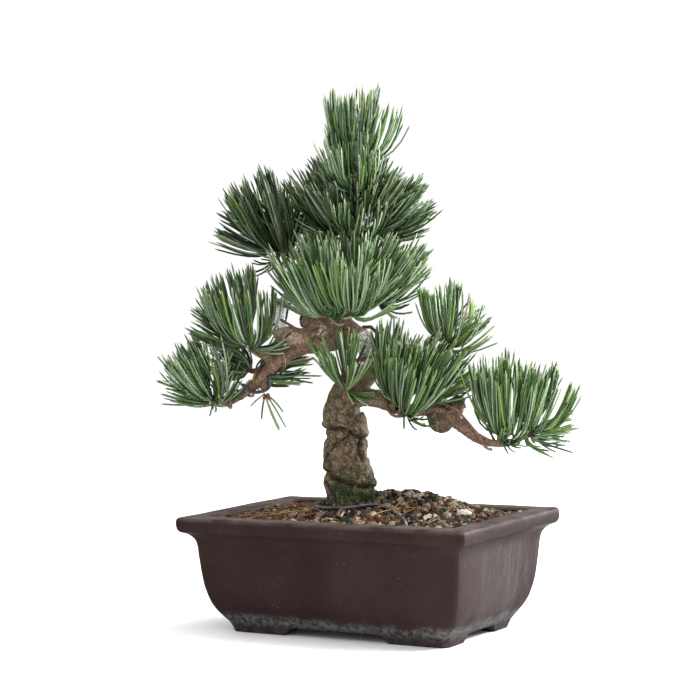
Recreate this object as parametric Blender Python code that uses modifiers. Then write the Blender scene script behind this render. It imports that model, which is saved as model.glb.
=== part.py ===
# Five-needle pine bonsai, wired and planted in a rectangular footed pot.
# Units are metres in Blender; the design tables below are in millimetres and
# are scaled by MM.  +Z is up, +X runs along the pot's long side and -Y is the
# pot's front.  Run with: blender --background --python part.py
import math

import bmesh
import bpy
from mathutils import Matrix, Vector

MM = 0.001

# ---------------------------------------------------------------- dimensions
POT_LENGTH = 249.0        # over the lip, along X
POT_WIDTH = 165.0         # over the lip, along Y
POT_HEIGHT = 90.0
POT_CORNER_R = 3.6
FLOOR_TOP = 12.5          # top of the pot's floor
FOOT_HEIGHT = 6.5
FOOT_GAP_X = (46.0, 39.5)  # half width of the gap between feet, bottom and top
FOOT_GAP_Y = (26.0, 20.5)
FOOT_RECESS = (82.0, 40.0)
DRAIN_X = 48.0
DRAIN_R = 12.0
FIT_GAP = 0.35            # clearance between touching pieces

# inset from the lip's outer edge and height, foot to lip, outside face
POT_OUTSIDE = [
    (30.6, 0.0), (29.6, 3.0), (27.6, 7.5), (24.0, 12.5), (20.5, 18.0),
    (17.4, 25.5), (14.6, 37.0), (13.0, 49.0), (11.9, 60.0), (11.1, 68.0),
    (9.6, 73.0), (6.2, 76.8), (2.4, 78.6), (0.8, 80.4), (0.0, 84.5),
    (0.3, 88.4), (1.6, 90.0),
]
# inset and height, lip to floor, inside face
POT_INSIDE = [
    (16.4, 90.0), (17.6, 89.0), (18.2, 86.5), (19.2, 72.0), (20.4, 55.0),
    (22.2, 38.0), (25.8, 22.0), (32.0, 14.5), (38.0, FLOOR_TOP),
]

# soil surface
SOIL_EDGE_Z = 84.6
SOIL_MOUNDS = [            # x, y, height, spread
    (-16.0, 0.0, 10.0, 38.0),
    (24.0, 32.0, 13.0, 30.0),
]

# trunk centre line: x, y, z, radius
TRUNK = [
    (-16.5, 1.0, 58.0, 11.0), (-16.5, 0.5, 66.0, 17.0), (-16.3, 0.0, 76.0, 21.5),
    (-16.2, -0.2, 88.0, 20.8), (-16.1, -0.1, 99.0, 19.3), (-15.5, 0.1, 110.7, 18.8),
    (-15.3, 0.2, 120.0, 17.2), (-17.8, -0.5, 128.5, 15.8), (-17.9, -1.4, 139.4, 16.0),
    (-16.6, -1.0, 148.7, 15.2), (-18.3, -1.5, 157.2, 16.5), (-20.3, -3.0, 165.1, 15.6),
    (-18.5, -3.4, 175.9, 13.0), (-14.3, -1.1, 183.6, 11.5), (-7.3, 4.0, 191.0, 10.0),
    (-1.0, 8.9, 200.9, 9.0), (0.1, 8.3, 211.7, 8.4), (-3.1, 4.3, 221.9, 8.0),
    (-10.6, -0.9, 228.8, 7.6), (-17.0, -2.8, 237.0, 6.8), (-19.4, -0.3, 249.8, 6.0),
    (-17.1, 2.5, 265.2, 5.4), (-13.7, 3.6, 282.8, 4.8), (-10.8, 2.5, 299.6, 4.2),
    (-7.2, 1.7, 318.7, 3.6), (-5.4, 1.0, 333.1, 3.0), (-6.0, 1.6, 351.5, 2.6),
    (-4.4, 2.6, 370.0, 2.0),
]
TRUNK_SIDES = 14
TRUNK_TWIST = 0.052       # radians of flute twist per millimetre of height

# branches, twigs and old cut stubs that grow out of the trunk: x, y, z, radius
BRANCHES = {
    "left_low": [
        (-12.2, -1.3, 227.5, 6.4), (-24.0, -5.8, 222.3, 7.4), (-33.7, -10.7, 220.2, 7.0),
        (-43.3, -15.6, 218.6, 6.3), (-54.1, -21.8, 213.6, 5.3), (-64.0, -26.8, 206.2, 4.9),
        (-73.1, -31.6, 195.6, 4.6), (-83.5, -35.7, 186.5, 4.2), (-93.2, -39.6, 180.0, 3.6),
        (-101.0, -42.9, 175.6, 3.1), (-107.0, -44.9, 175.4, 2.5),
    ],
    "right_low": [
        (-13.0, -1.4, 178.2, 8.0), (-0.9, 1.7, 178.9, 7.4), (8.7, 3.5, 176.6, 6.0),
        (18.1, 5.3, 172.8, 5.2), (30.6, 7.8, 168.9, 4.8), (42.6, 11.3, 168.9, 4.8),
        (53.1, 14.3, 168.1, 5.0), (62.7, 17.1, 163.5, 5.2), (73.0, 20.0, 155.8, 4.8),
        (82.5, 22.7, 148.2, 4.2), (90.6, 25.0, 144.2, 3.3), (97.5, 27.0, 143.2, 2.6),
    ],
    "right_tip": [
        (89.0, 24.6, 145.0, 2.6), (99.0, 27.0, 142.6, 2.4), (110.0, 28.6, 144.4, 2.2),
        (122.6, 30.3, 149.4, 1.9),
    ],
    "right_high": [
        (-1.9, 8.7, 202.3, 5.6), (7.7, 18.3, 200.5, 5.0), (17.9, 25.3, 201.7, 4.4),
        (30.0, 31.0, 205.4, 3.8), (40.0, 35.4, 209.6, 3.0), (48.0, 37.8, 212.4, 2.4),
    ],
    "left_high": [
        (-18.8, -0.1, 241.3, 5.0), (-33.2, 2.2, 249.2, 4.6), (-47.0, 0.8, 260.0, 3.9),
        (-58.6, -2.0, 273.0, 3.2), (-67.6, -4.3, 286.6, 2.4),
    ],
    "crown_left": [(-11.5, 2.8, 297.0, 2.8), (-15.5, 4.6, 299.6, 2.4), (-17.6, 5.5, 300.8, 2.0)],
    "crown_right": [(-10.6, 2.6, 299.0, 2.8), (-4.0, 9.0, 303.6, 2.4), (0.8, 13.3, 305.6, 2.0)],
    "crown_front": [(-10.8, 2.4, 297.4, 2.8), (-6.4, -1.4, 299.8, 2.3), (-3.2, -3.4, 300.9, 1.9)],
    "centre_left": [(-17.6, -2.6, 236.0, 4.2), (-20.2, -9.0, 236.8, 3.6), (-21.6, -14.8, 238.6, 2.8)],
    "centre_front": [(-17.4, -2.0, 241.0, 4.0), (-9.6, -9.6, 242.4, 3.4), (-3.6, -15.6, 243.4, 2.6)],
    "centre_right": [(-18.6, 0.6, 248.0, 4.0), (-7.0, 5.2, 249.0, 3.4), (3.6, 8.5, 251.6, 2.6)],
    "centre_back": [(-18.6, 1.0, 252.0, 3.8), (-23.0, 13.0, 252.6, 3.2), (-26.0, 22.2, 254.6, 2.5)],
    "left_mid": [(-64.0, -26.8, 206.2, 4.0), (-71.2, -32.6, 212.0, 3.2), (-78.4, -37.4, 216.2, 2.5)],
    "left_inner": [(-73.1, -31.0, 196.4, 3.4), (-80.0, -26.6, 198.0, 3.0), (-85.8, -22.8, 199.4, 2.4)],
    "left_bud": [(-75.6, -32.4, 193.0, 3.0), (-72.6, -31.6, 187.6, 2.6), (-71.4, -31.2, 185.0, 2.2)],
    "front_low": [(-14.5, -1.0, 181.0, 6.0), (-10.0, -9.6, 180.8, 4.4), (-7.2, -15.6, 181.8, 2.9)],
    "right_inner": [(8.7, 3.8, 177.0, 4.4), (14.4, 6.2, 184.4, 3.2), (16.6, 6.9, 190.4, 2.4)],
    "right_mid": [(28.0, 7.4, 169.6, 4.2), (31.6, 2.6, 166.8, 3.2), (33.0, 0.6, 166.4, 2.4)],
    "right_outer": [(37.0, 9.6, 169.2, 4.2), (38.8, 11.6, 172.2, 3.0), (39.2, 12.2, 173.6, 2.4)],
    "pale_stub": [
        (-41.0, -14.0, 222.4, 5.4), (-47.0, -17.4, 225.6, 6.8), (-55.0, -22.0, 227.2, 7.1),
        (-61.0, -25.0, 228.2, 5.8), (-65.0, -27.0, 228.8, 3.0),
    ],
    "round_stub": [
        (-18.0, -2.6, 234.0, 6.6), (-28.0, -7.4, 235.4, 6.8), (-36.0, -11.6, 237.2, 6.8),
        (-41.2, -15.2, 238.2, 7.2), (-43.2, -17.2, 238.5, 6.2),
    ],
    "lower_knob": [
        (51.0, 12.4, 166.4, 4.8), (55.0, 12.6, 160.8, 7.6), (60.0, 13.4, 158.4, 7.4),
        (65.0, 15.0, 158.0, 4.2),
    ],
    "upper_knob": [
        (63.0, 18.0, 163.6, 4.6), (65.0, 22.0, 168.6, 6.0), (66.6, 24.6, 173.6, 5.8),
        (67.4, 25.8, 178.0, 3.0),
    ],
}
ROOTS = [                 # heading in degrees, reach, drop
    (18.0, 44.0, 22.0), (92.0, 38.0, 26.0), (163.0, 42.0, 20.0),
    (234.0, 40.0, 24.0), (302.0, 43.0, 21.0),
]

# needle tufts: name, base, heading, length, half width
TUFTS = [
    ("upper_left", (-69.3, -4.8, 289.5), (-0.21, -0.28, 0.94), 66, 34),
    ("crown_left", (-19.8, 6.3, 302.6), (-0.36, -0.28, 0.89), 62, 31),
    ("crown_right", (2.8, 15.2, 307.4), (0.53, 0.31, 0.79), 54, 33),
    ("crown_front", (-1.6, -5.4, 302.4), (0.30, -0.44, 0.85), 48, 30),
    ("apex_low_front", (-2.4, -5.2, 337.5), (0.10, -0.34, 0.93), 56, 30),
    ("apex_low_back", (-8.4, 8.0, 336.4), (-0.06, 0.36, 0.93), 56, 30),
    ("apex_top", (-3.9, 2.9, 374.2), (0.02, 0.01, 1.00), 41, 28),
    ("centre_left", (-22.0, -17.6, 240.6), (-0.24, -0.32, 0.92), 66, 34),
    ("centre_front", (-1.6, -18.0, 245.0), (0.28, -0.32, 0.91), 64, 34),
    ("centre_right", (6.4, 9.2, 253.6), (0.50, 0.24, 0.83), 58, 35),
    ("centre_back", (-26.6, 24.6, 256.6), (-0.23, 0.49, 0.84), 56, 33),
    ("left_mid", (-80.0, -38.8, 218.4), (-0.06, -0.24, 0.97), 59, 37),
    ("left_inner", (-87.6, -20.4, 199.9), (0.50, 0.84, 0.20), 46, 20),
    ("left_under", (-89.4, -24.6, 200.4), (-0.94, 0.20, 0.28), 36, 17),
    ("left_end", (-109.6, -46.2, 177.0), (-0.35, -0.30, 0.89), 52, 29),
    ("left_bud", (-71.2, -31.1, 182.2), (0.18, 0.05, -0.98), 30, 9),
    ("front_low", (-6.4, -18.4, 183.8), (0.14, -0.29, 0.95), 46, 29),
    ("right_inner", (17.0, 7.0, 193.2), (-0.04, 0.03, 1.00), 46, 20),
    ("right_upper", (50.2, 38.2, 214.6), (-0.03, 0.10, 0.99), 51, 27),
    ("right_mid", (33.9, -1.8, 168.2), (0.34, -0.14, 0.93), 54, 29),
    ("right_outer", (40.2, 13.4, 176.4), (0.46, 0.45, 0.77), 50, 27),
    ("right_tip_a", (99.6, 27.8, 147.6), (0.02, -0.02, 1.00), 62, 25),
    ("right_tip_b", (125.2, 30.7, 151.7), (0.20, 0.18, 0.96), 55, 29),
]
TUFT_SIDES = 12
TUFT_PROFILE = [          # fraction of length, fraction of half width
    (0.0, 0.07), (0.10, 0.60), (0.32, 0.95), (0.62, 1.0), (0.86, 0.80), (1.0, 0.42),
]

WIRE_R = 1.15             # soft aluminium training wire
WIRE_GAP = 0.6

PEBBLE_AT = (72.5, 19.5)
PEBBLE_R = (6.0, 5.0, 3.8)

# centre of the finished object's plan, moved to the world origin
CENTRE = (5.946, -1.430)

# ------------------------------------------------------------------- scene
for stale in list(bpy.data.objects):
    bpy.data.objects.remove(stale, do_unlink=True)

parts = bpy.data.collections.new("pine_bonsai")
cutters = bpy.data.collections.new("cutters")
bpy.context.scene.collection.children.link(parts)
bpy.context.scene.collection.children.link(cutters)

root = bpy.data.objects.new("bonsai_root", None)
root.location = (-CENTRE[0] * MM, -CENTRE[1] * MM, 0.0)
parts.objects.link(root)


def make_material(name, colour, roughness, metallic=0.0):
    mat = bpy.data.materials.new(name)
    mat.use_nodes = True
    bsdf = mat.node_tree.nodes["Principled BSDF"]
    bsdf.inputs["Base Color"].default_value = (*colour, 1.0)
    bsdf.inputs["Roughness"].default_value = roughness
    bsdf.inputs["Metallic"].default_value = metallic
    mat.diffuse_color = (*colour, 1.0)
    return mat


def add_part(name, mesh, mat, smooth=True):
    obj = bpy.data.objects.new(name, mesh)
    parts.objects.link(obj)
    obj.parent = root
    mesh.materials.clear()
    mesh.materials.append(mat)
    for poly in mesh.polygons:
        poly.use_smooth = smooth
    return obj


def add_cutter(name, mesh):
    obj = bpy.data.objects.new(name, mesh)
    cutters.objects.link(obj)
    obj.parent = root
    obj.hide_render = True
    obj.display_type = "WIRE"
    return obj


def boolean(target, tool, operation):
    mod = target.modifiers.new(operation.lower() + "_" + tool.name, "BOOLEAN")
    mod.operation = operation
    mod.solver = "EXACT"
    mod.object = tool
    return mod


def bake(obj):
    """Apply the modifier stack so that the next Boolean meets plain geometry."""
    graph = bpy.context.evaluated_depsgraph_get()
    graph.update()
    mesh = bpy.data.meshes.new_from_object(obj.evaluated_get(graph))
    obj.modifiers.clear()
    obj.data = mesh
    clean(mesh)
    return obj


def clean(mesh, distance=2e-5):
    bm = bmesh.new()
    bm.from_mesh(mesh)
    bmesh.ops.remove_doubles(bm, verts=bm.verts, dist=distance)
    bmesh.ops.dissolve_degenerate(bm, edges=bm.edges, dist=distance)
    bmesh.ops.recalc_face_normals(bm, faces=bm.faces)
    bm.to_mesh(mesh)
    bm.free()


def loft(name, rings):
    """Closed solid through rings of equal point count, capped at both ends."""
    bm = bmesh.new()
    rows = [[bm.verts.new(Vector(p) * MM) for p in ring] for ring in rings]
    count = len(rows[0])
    for low, high in zip(rows, rows[1:]):
        for k in range(count):
            n = (k + 1) % count
            bm.faces.new((low[k], low[n], high[n], high[k]))
    bm.faces.new(list(reversed(rows[0])))
    bm.faces.new(rows[-1])
    bmesh.ops.recalc_face_normals(bm, faces=bm.faces)
    mesh = bpy.data.meshes.new(name)
    bm.to_mesh(mesh)
    bm.free()
    return mesh


def catmull(points, steps):
    """Smooth path through the points; every component is interpolated."""
    pts = [Vector(p) for p in points] if len(points[0]) < 4 else [list(p) for p in points]
    dims = len(points[0])
    out = []
    last = len(points) - 1
    for i in range(last):
        p0, p1 = pts[max(i - 1, 0)], pts[i]
        p2, p3 = pts[i + 1], pts[min(i + 2, last)]
        for s in range(steps):
            t = s / steps
            out.append([
                0.5 * (2 * p1[d] + (p2[d] - p0[d]) * t
                       + (2 * p0[d] - 5 * p1[d] + 4 * p2[d] - p3[d]) * t * t
                       + (3 * p1[d] - p0[d] - 3 * p2[d] + p3[d]) * t ** 3)
                for d in range(dims)
            ])
    out.append([pts[-1][d] for d in range(dims)])
    return out


def tube(name, path, resolution=2):
    """Round tube along x, y, z, radius points, as a closed capped mesh."""
    curve = bpy.data.curves.new(name + "_curve", "CURVE")
    curve.dimensions = "3D"
    curve.bevel_depth = MM
    curve.bevel_resolution = resolution
    curve.use_fill_caps = True
    spline = curve.splines.new("POLY")
    spline.points.add(len(path) - 1)
    for point, (x, y, z, r) in zip(spline.points, path):
        point.co = (x * MM, y * MM, z * MM, 1.0)
        point.radius = r
    holder = bpy.data.objects.new(name + "_curve", curve)
    cutters.objects.link(holder)
    graph = bpy.context.evaluated_depsgraph_get()
    graph.update()
    mesh = bpy.data.meshes.new_from_object(holder.evaluated_get(graph))
    mesh.name = name
    bpy.data.objects.remove(holder, do_unlink=True)
    bpy.data.curves.remove(curve)
    clean(mesh)
    return mesh


def rounded_rectangle(half_x, half_y, radius, z, arc=4):
    ring = []
    for cx, cy, start in ((1, 1, 0), (-1, 1, 90), (-1, -1, 180), (1, -1, 270)):
        for k in range(arc):
            a = math.radians(start + 90.0 * k / (arc - 1))
            ring.append((cx * (half_x - radius) + radius * math.cos(a),
                         cy * (half_y - radius) + radius * math.sin(a), z))
    return ring


def box(name, lo, hi):
    bm = bmesh.new()
    bmesh.ops.create_cube(bm, size=1.0)
    for v in bm.verts:
        v.co = Vector([(lo[i] if v.co[i] < 0 else hi[i]) * MM for i in range(3)])
    mesh = bpy.data.meshes.new(name)
    bm.to_mesh(mesh)
    bm.free()
    return mesh


def cylinder(name, radius, z0, z1, at, sides=24):
    bm = bmesh.new()
    bmesh.ops.create_cone(bm, cap_ends=True, segments=sides, radius1=radius * MM,
                          radius2=radius * MM, depth=(z1 - z0) * MM,
                          matrix=Matrix.Translation(Vector((at[0], at[1], (z0 + z1) / 2)) * MM))
    mesh = bpy.data.meshes.new(name)
    bm.to_mesh(mesh)
    bm.free()
    return mesh


# ---------------------------------------------------------------- materials
clay = make_material("unglazed_brown_clay", (0.055, 0.034, 0.030), 0.62)
grit = make_material("gravel_soil", (0.36, 0.26, 0.17), 0.9)
bark = make_material("pine_bark", (0.20, 0.14, 0.10), 0.88)
needle = make_material("pine_needles", (0.10, 0.20, 0.10), 0.55)
plastic = make_material("drain_mesh_plastic", (0.02, 0.02, 0.02), 0.5)
steel = make_material("clip_wire_steel", (0.55, 0.55, 0.56), 0.35, 1.0)
brown_wire = make_material("brown_training_wire", (0.20, 0.10, 0.06), 0.4, 0.6)
black_wire = make_material("black_training_wire", (0.02, 0.02, 0.025), 0.4, 0.5)
grey_wire = make_material("grey_anchor_wire", (0.12, 0.12, 0.13), 0.45, 0.7)
pale_stone = make_material("pale_pebble", (0.62, 0.58, 0.50), 0.8)

# ---------------------------------------------------------------------- pot
HALF_X, HALF_Y = POT_LENGTH / 2, POT_WIDTH / 2


def pot_ring(inset, z, gap=0.0):
    radius = POT_CORNER_R + 0.09 * inset
    return rounded_rectangle(HALF_X - inset - gap, HALF_Y - inset - gap, radius, z)


pot = add_part("pot", loft("pot", [pot_ring(i, z) for i, z in POT_OUTSIDE + POT_INSIDE]), clay)


def tapered_bar(name, half_low, half_high, reach, along, top):
    """Bar under the pot whose sides lean in towards its top."""
    rings = []
    for half, z in ((half_low + (half_low - half_high) / top * 2.0, -2.0), (half_high, top)):
        a, b = (half, reach) if along == "Y" else (reach, half)
        rings.append([(a, b, z), (-a, b, z), (-a, -b, z), (a, -b, z)])
    return loft(name, rings)


pot_cuts = [
    tapered_bar("foot_gap_front", FOOT_GAP_X[0], FOOT_GAP_X[1], 100.0, "Y", FOOT_HEIGHT),
    tapered_bar("foot_gap_side", FOOT_GAP_Y[0], FOOT_GAP_Y[1], 130.0, "X", FOOT_HEIGHT),
    box("foot_recess", (-FOOT_RECESS[0], -FOOT_RECESS[1], -2.0),
        (FOOT_RECESS[0], FOOT_RECESS[1], FOOT_HEIGHT + 0.4)),
    cylinder("drain_hole_left", DRAIN_R, 2.0, 20.0, (-DRAIN_X, 0.0)),
    cylinder("drain_hole_right", DRAIN_R, 2.0, 20.0, (DRAIN_X, 0.0)),
]
for mesh in pot_cuts:
    boolean(pot, add_cutter(mesh.name, mesh), "DIFFERENCE")
    bake(pot)
for poly in pot.data.polygons:
    poly.use_smooth = abs(poly.normal.z) < 0.9

# -------------------------------------------------------------------- trunk


def trunk_rings(grow=0.0, last=None):
    path = catmull(TRUNK, 2)
    rings = []
    for i, (x, y, z, r) in enumerate(path):
        if last is not None and z > last:
            break
        ahead = path[min(i + 1, len(path) - 1)]
        behind = path[max(i - 1, 0)]
        axis = (Vector(ahead[:3]) - Vector(behind[:3])).normalized()
        side = Vector((0.0, 1.0, 0.0)).cross(axis).normalized()
        other = axis.cross(side)
        depth = min(1.0, max(0.0, (215.0 - z) / 60.0))
        turn = TRUNK_TWIST * z
        ring = []
        for k in range(TRUNK_SIDES):
            a = 2.0 * math.pi * k / TRUNK_SIDES
            lump = depth * (0.065 * math.sin(2 * a + turn) + 0.045 * math.sin(3 * a - 1.6 * turn + 0.8)
                            + 0.02 * math.sin(5 * a + 2.3 * turn))
            reach = r * (1.0 + lump) + grow
            ring.append(Vector((x, y, z)) + side * (reach * math.cos(a)) + other * (reach * math.sin(a)))
        rings.append(ring)
    return rings


def root_path(heading, reach, drop, grow=0.0):
    a = math.radians(heading)
    pts = []
    for t, r in ((0.0, 8.5), (0.35, 7.0), (0.6, 5.2), (0.8, 3.8), (1.0, 2.4)):
        bend = a + 0.35 * math.sin(2.6 * t)
        pts.append((-16.4 + reach * t * math.cos(bend), reach * 0.9 * t * math.sin(bend),
                    74.0 - drop * t * t - 4.0 * t, r + grow))
    if grow:
        tip = Vector(pts[-1][:3]) - Vector(pts[-2][:3])
        end = Vector(pts[-1][:3]) + tip.normalized() * grow
        pts[-1] = (*end, pts[-1][3])
    return pts


trunk = add_part("trunk_and_branches", loft("trunk_and_branches", trunk_rings()), bark)
for index, (heading, reach, drop) in enumerate(ROOTS):
    mesh = tube("root_%d" % (index + 1), root_path(heading, reach, drop))
    boolean(trunk, add_cutter(mesh.name, mesh), "UNION")
    bake(trunk)
for branch_name, points in BRANCHES.items():
    mesh = tube("wood_" + branch_name, catmull(points, 2))
    boolean(trunk, add_cutter(mesh.name, mesh), "UNION")
    bake(trunk)
for poly in trunk.data.polygons:
    poly.use_smooth = True

# --------------------------------------------------------------------- soil


def soil_height(x, y):
    z = SOIL_EDGE_Z
    for mx, my, height, spread in SOIL_MOUNDS:
        z += height * math.exp(-((x - mx) ** 2 + (y - my) ** 2) / (2.0 * spread ** 2))
    return z


def soil_bump(x, y):
    return 0.55 * math.sin(0.71 * x + 1.3) * math.sin(0.83 * y) + 0.4 * math.sin(0.37 * x - 0.52 * y)


soil_rings = []
for inset, z in reversed([p for p in POT_INSIDE if p[1] < 84.0]):
    soil_rings.append(pot_ring(inset + 0.5, z + 0.4 if z < 20.0 else z))
top_edge = pot_ring(19.0, 0.0)
for share in (1.0, 0.93, 0.84, 0.73, 0.62, 0.51, 0.40, 0.29, 0.18, 0.07):
    ring = []
    for x, y, _ in top_edge:
        px, py = x * share, y * share
        fade = min(1.0, (1.0 - share) * 8.0)
        ring.append((px, py, soil_height(px, py) * 1.0 + soil_bump(px, py) * fade
                     - (2.0 if share == 1.0 else 0.0)))
    soil_rings.append(ring)
soil = add_part("soil", loft("soil", soil_rings), grit, smooth=False)

soil_cuts = [loft("trunk_seat", trunk_rings(FIT_GAP + 0.1, 125.0))]
# the seat's lower end stays below the trunk's own end
seat_low = [Vector(v) for v in trunk_rings(FIT_GAP + 0.1, 125.0)[0]]
soil_cuts[0] = loft("trunk_seat", [[p - Vector((0, 0, 0.6)) for p in seat_low]]
                    + trunk_rings(FIT_GAP + 0.1, 125.0))
for index, (heading, reach, drop) in enumerate(ROOTS):
    soil_cuts.append(tube("root_seat_%d" % (index + 1), root_path(heading, reach, drop, FIT_GAP + 0.1)))

# ------------------------------------------------- drainage meshes and clips
MESH_HALF = 16.0
MESH_T = 1.0
for side, x0 in (("left", -DRAIN_X), ("right", DRAIN_X)):
    bm = bmesh.new()
    bmesh.ops.create_grid(bm, x_segments=4, y_segments=4, size=MESH_HALF * MM)
    grid = bpy.data.meshes.new("drain_mesh_" + side)
    bm.to_mesh(grid)
    bm.free()
    screen = add_part("drain_mesh_" + side, grid, plastic, smooth=False)
    screen.location = (x0 * MM, 0.0, (FLOOR_TOP + FIT_GAP + MESH_T / 2) * MM)
    wire = screen.modifiers.new("lattice", "WIREFRAME")
    wire.thickness = MESH_T * MM
    wire.use_even_offset = True
    wire.use_boundary = True
    wire.use_replace = True
    soil_cuts.append(box("drain_seat_" + side, (x0 - 17.2, -17.2, FLOOR_TOP - 2.0),
                         (x0 + 17.2, 17.2, FLOOR_TOP + 5.2)))
    # clip: a staple of wire over the screen, its legs spread under the floor
    top = FLOOR_TOP + FIT_GAP + MESH_T + FIT_GAP + 0.6
    low = FOOT_HEIGHT + 0.4 - FIT_GAP - 0.7
    legs = [(x0 - 15.0, 0.0), (x0 - 4.0, 0.0), (x0 + 4.0, 0.0), (x0 + 15.0, 0.0)]
    route = [(*legs[0], low, 0.5), (legs[1][0] - 2.5, 4.0, low, 0.5), (legs[1][0], 4.0, low + 1.6, 0.5),
             (legs[1][0], 4.0, top - 1.4, 0.5), (legs[1][0] + 1.2, 4.0, top, 0.5),
             (legs[2][0] - 1.2, 4.0, top, 0.5), (legs[2][0], 4.0, top - 1.4, 0.5),
             (legs[2][0], 4.0, low + 1.6, 0.5), (legs[2][0] + 2.5, 4.0, low, 0.5), (*legs[3], low, 0.5)]
    add_part("mesh_clip_" + side, tube("mesh_clip_" + side, route), steel)

# ------------------------------------------------------------- anchor wire
ANCHOR = [                # plan route over the soil; the ends go down into it
    (-36.0, -23.5), (-25.0, -26.6), (-15.5, -26.8), (-5.3, -26.1), (2.5, -21.0),
    (10.5, -15.0), (20.0, -13.6), (29.5, -16.8), (41.7, -25.0), (54.0, -38.5),
]
anchor = [(ANCHOR[0][0] - 5.0, ANCHOR[0][1] + 2.0, 66.0), (ANCHOR[0][0] - 3.6, ANCHOR[0][1] + 1.4, 80.0)]
anchor += [(x, y, soil_height(x, y) + WIRE_R + 1.6) for x, y in ANCHOR]
anchor += [(ANCHOR[-1][0] + 3.0, ANCHOR[-1][1] - 3.2, 81.0), (ANCHOR[-1][0] + 4.0, ANCHOR[-1][1] - 4.2, 68.0)]
anchor_path = catmull([Vector(p) for p in anchor], 3)
add_part("anchor_wire", tube("anchor_wire", [(*p, WIRE_R) for p in anchor_path]), grey_wire)
seat = [(*p, WIRE_R + FIT_GAP + 0.1) for p in anchor_path]
seat[0] = (seat[0][0], seat[0][1], seat[0][2] - 0.6, seat[0][3])
seat[-1] = (seat[-1][0], seat[-1][1], seat[-1][2] - 0.6, seat[-1][3])
soil_cuts.append(tube("anchor_seat", seat))

# ------------------------------------------------------------ large pebble
PEBBLE_Z = soil_height(*PEBBLE_AT) + 1.0
for name, grow in (("pebble", 0.0), ("pebble_seat", FIT_GAP)):
    bm = bmesh.new()
    bmesh.ops.create_icosphere(bm, subdivisions=2, radius=1.0)
    for v in bm.verts:
        wobble = 1.0 + 0.07 * math.sin(3.0 * v.co.x + 1.0) * math.cos(2.0 * v.co.y)
        v.co = Vector([v.co[i] * wobble * (PEBBLE_R[i] + grow) * MM for i in range(3)]) \
            + Vector((*PEBBLE_AT, PEBBLE_Z)) * MM
    mesh = bpy.data.meshes.new(name)
    bm.to_mesh(mesh)
    bm.free()
    if name == "pebble":
        add_part(name, mesh, pale_stone)
    else:
        soil_cuts.append(mesh)

for mesh in soil_cuts:
    boolean(soil, add_cutter(mesh.name, mesh), "DIFFERENCE")
    bake(soil)

# ---------------------------------------------------------- training wires


def frames(path):
    """Twist-free pair of side vectors at every point of a path."""
    out = []
    side = None
    for i in range(len(path)):
        axis = Vector(path[min(i + 1, len(path) - 1)][:3]) - Vector(path[max(i - 1, 0)][:3])
        axis.normalize()
        if side is None:
            side = Vector((0, 0, 1)) if abs(axis.z) < 0.8 else Vector((1, 0, 0))
        side = (side - axis * side.dot(axis)).normalized()
        out.append((Vector(path[i][:3]), path[i][3], axis, side.copy(), axis.cross(side)))
    return out


def coil(points, angles, gap=WIRE_GAP, wire=WIRE_R, per_turn=10):
    """Wire wound on a branch; angles is a table of path fraction, degrees."""
    fine = frames(catmull(points, 10))
    total = abs(angles[-1][1] - angles[0][1]) / 360.0
    steps = max(8, int(total * per_turn))
    out = []
    for s in range(steps + 1):
        degrees = angles[0][1] + (angles[-1][1] - angles[0][1]) * s / steps
        for (f0, a0), (f1, a1) in zip(angles, angles[1:]):
            if min(a0, a1) <= degrees <= max(a0, a1):
                f = f0 + (f1 - f0) * (degrees - a0) / (a1 - a0)
                break
        pos = f * (len(fine) - 1)
        i = min(int(pos), len(fine) - 2)
        t = pos - i
        centre = fine[i][0].lerp(fine[i + 1][0], t)
        radius = fine[i][1] * (1 - t) + fine[i + 1][1] * t
        side = fine[i][3].lerp(fine[i + 1][3], t)
        other = fine[i][4].lerp(fine[i + 1][4], t)
        a = math.radians(degrees)
        reach = radius + wire + gap
        out.append(centre + side * (reach * math.cos(a)) + other * (reach * math.sin(a)))
    return out


def closest(p1, q1, p2, q2):
    """Closest points of two segments."""
    d1, d2, r = q1 - p1, q2 - p2, p1 - p2
    a, e, f = d1.dot(d1), d2.dot(d2), d2.dot(r)
    c, b = d1.dot(r), d1.dot(d2)
    denom = a * e - b * b
    s = min(max((b * f - c * e) / denom, 0.0), 1.0) if denom > 1e-9 else 0.5
    t = (b * s + f) / e if e > 1e-9 else 0.0
    if t < 0.0:
        t, s = 0.0, min(max(-c / a, 0.0), 1.0)
    elif t > 1.0:
        t, s = 1.0, min(max((b - c) / a, 0.0), 1.0)
    return p1 + d1 * s, p2 + d2 * t


CLEAR = []                # wood and wire as swept circles: start, end, radius
for path in [TRUNK] + list(BRANCHES.values()):
    swell = 1.12 if path is TRUNK else 1.0
    fine_path = catmull(path, 2)
    for a, b in zip(fine_path, fine_path[1:]):
        CLEAR.append((Vector(a[:3]), Vector(b[:3]), max(a[3], b[3]) * swell))


def ease_off(route, wire):
    """Move a wire's points out of any wood or wire that they come too near."""
    pts = [Vector(p) for p in route]
    for _ in range(40):
        moved = False
        for i in range(len(pts)):
            j = min(i + 1, len(pts) - 1)
            k = i if i != j else i - 1
            lo, hi = min(k, j), max(k, j)
            for p, q, radius in CLEAR:
                mine, theirs = closest(pts[lo], pts[hi], p, q)
                apart = mine - theirs
                need = radius + wire + 0.3
                if 1e-6 < apart.length < need:
                    push = apart.normalized() * (need - apart.length + 0.02)
                    pts[lo] += push
                    pts[hi] += push
                    moved = True
        if not moved:
            break
    return pts


def add_wire(name, route, mat, wire=WIRE_R):
    pts = ease_off(route, wire)
    add_part(name, tube(name, [(*p, wire) for p in pts]), mat)
    for a, b in zip(pts, pts[1:]):
        CLEAR.append((a, b, wire))


def eleven(points, table):
    """Turn a table of point number and degrees into path fractions."""
    return [(n / (len(points) - 1), degrees) for n, degrees in table]


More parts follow.
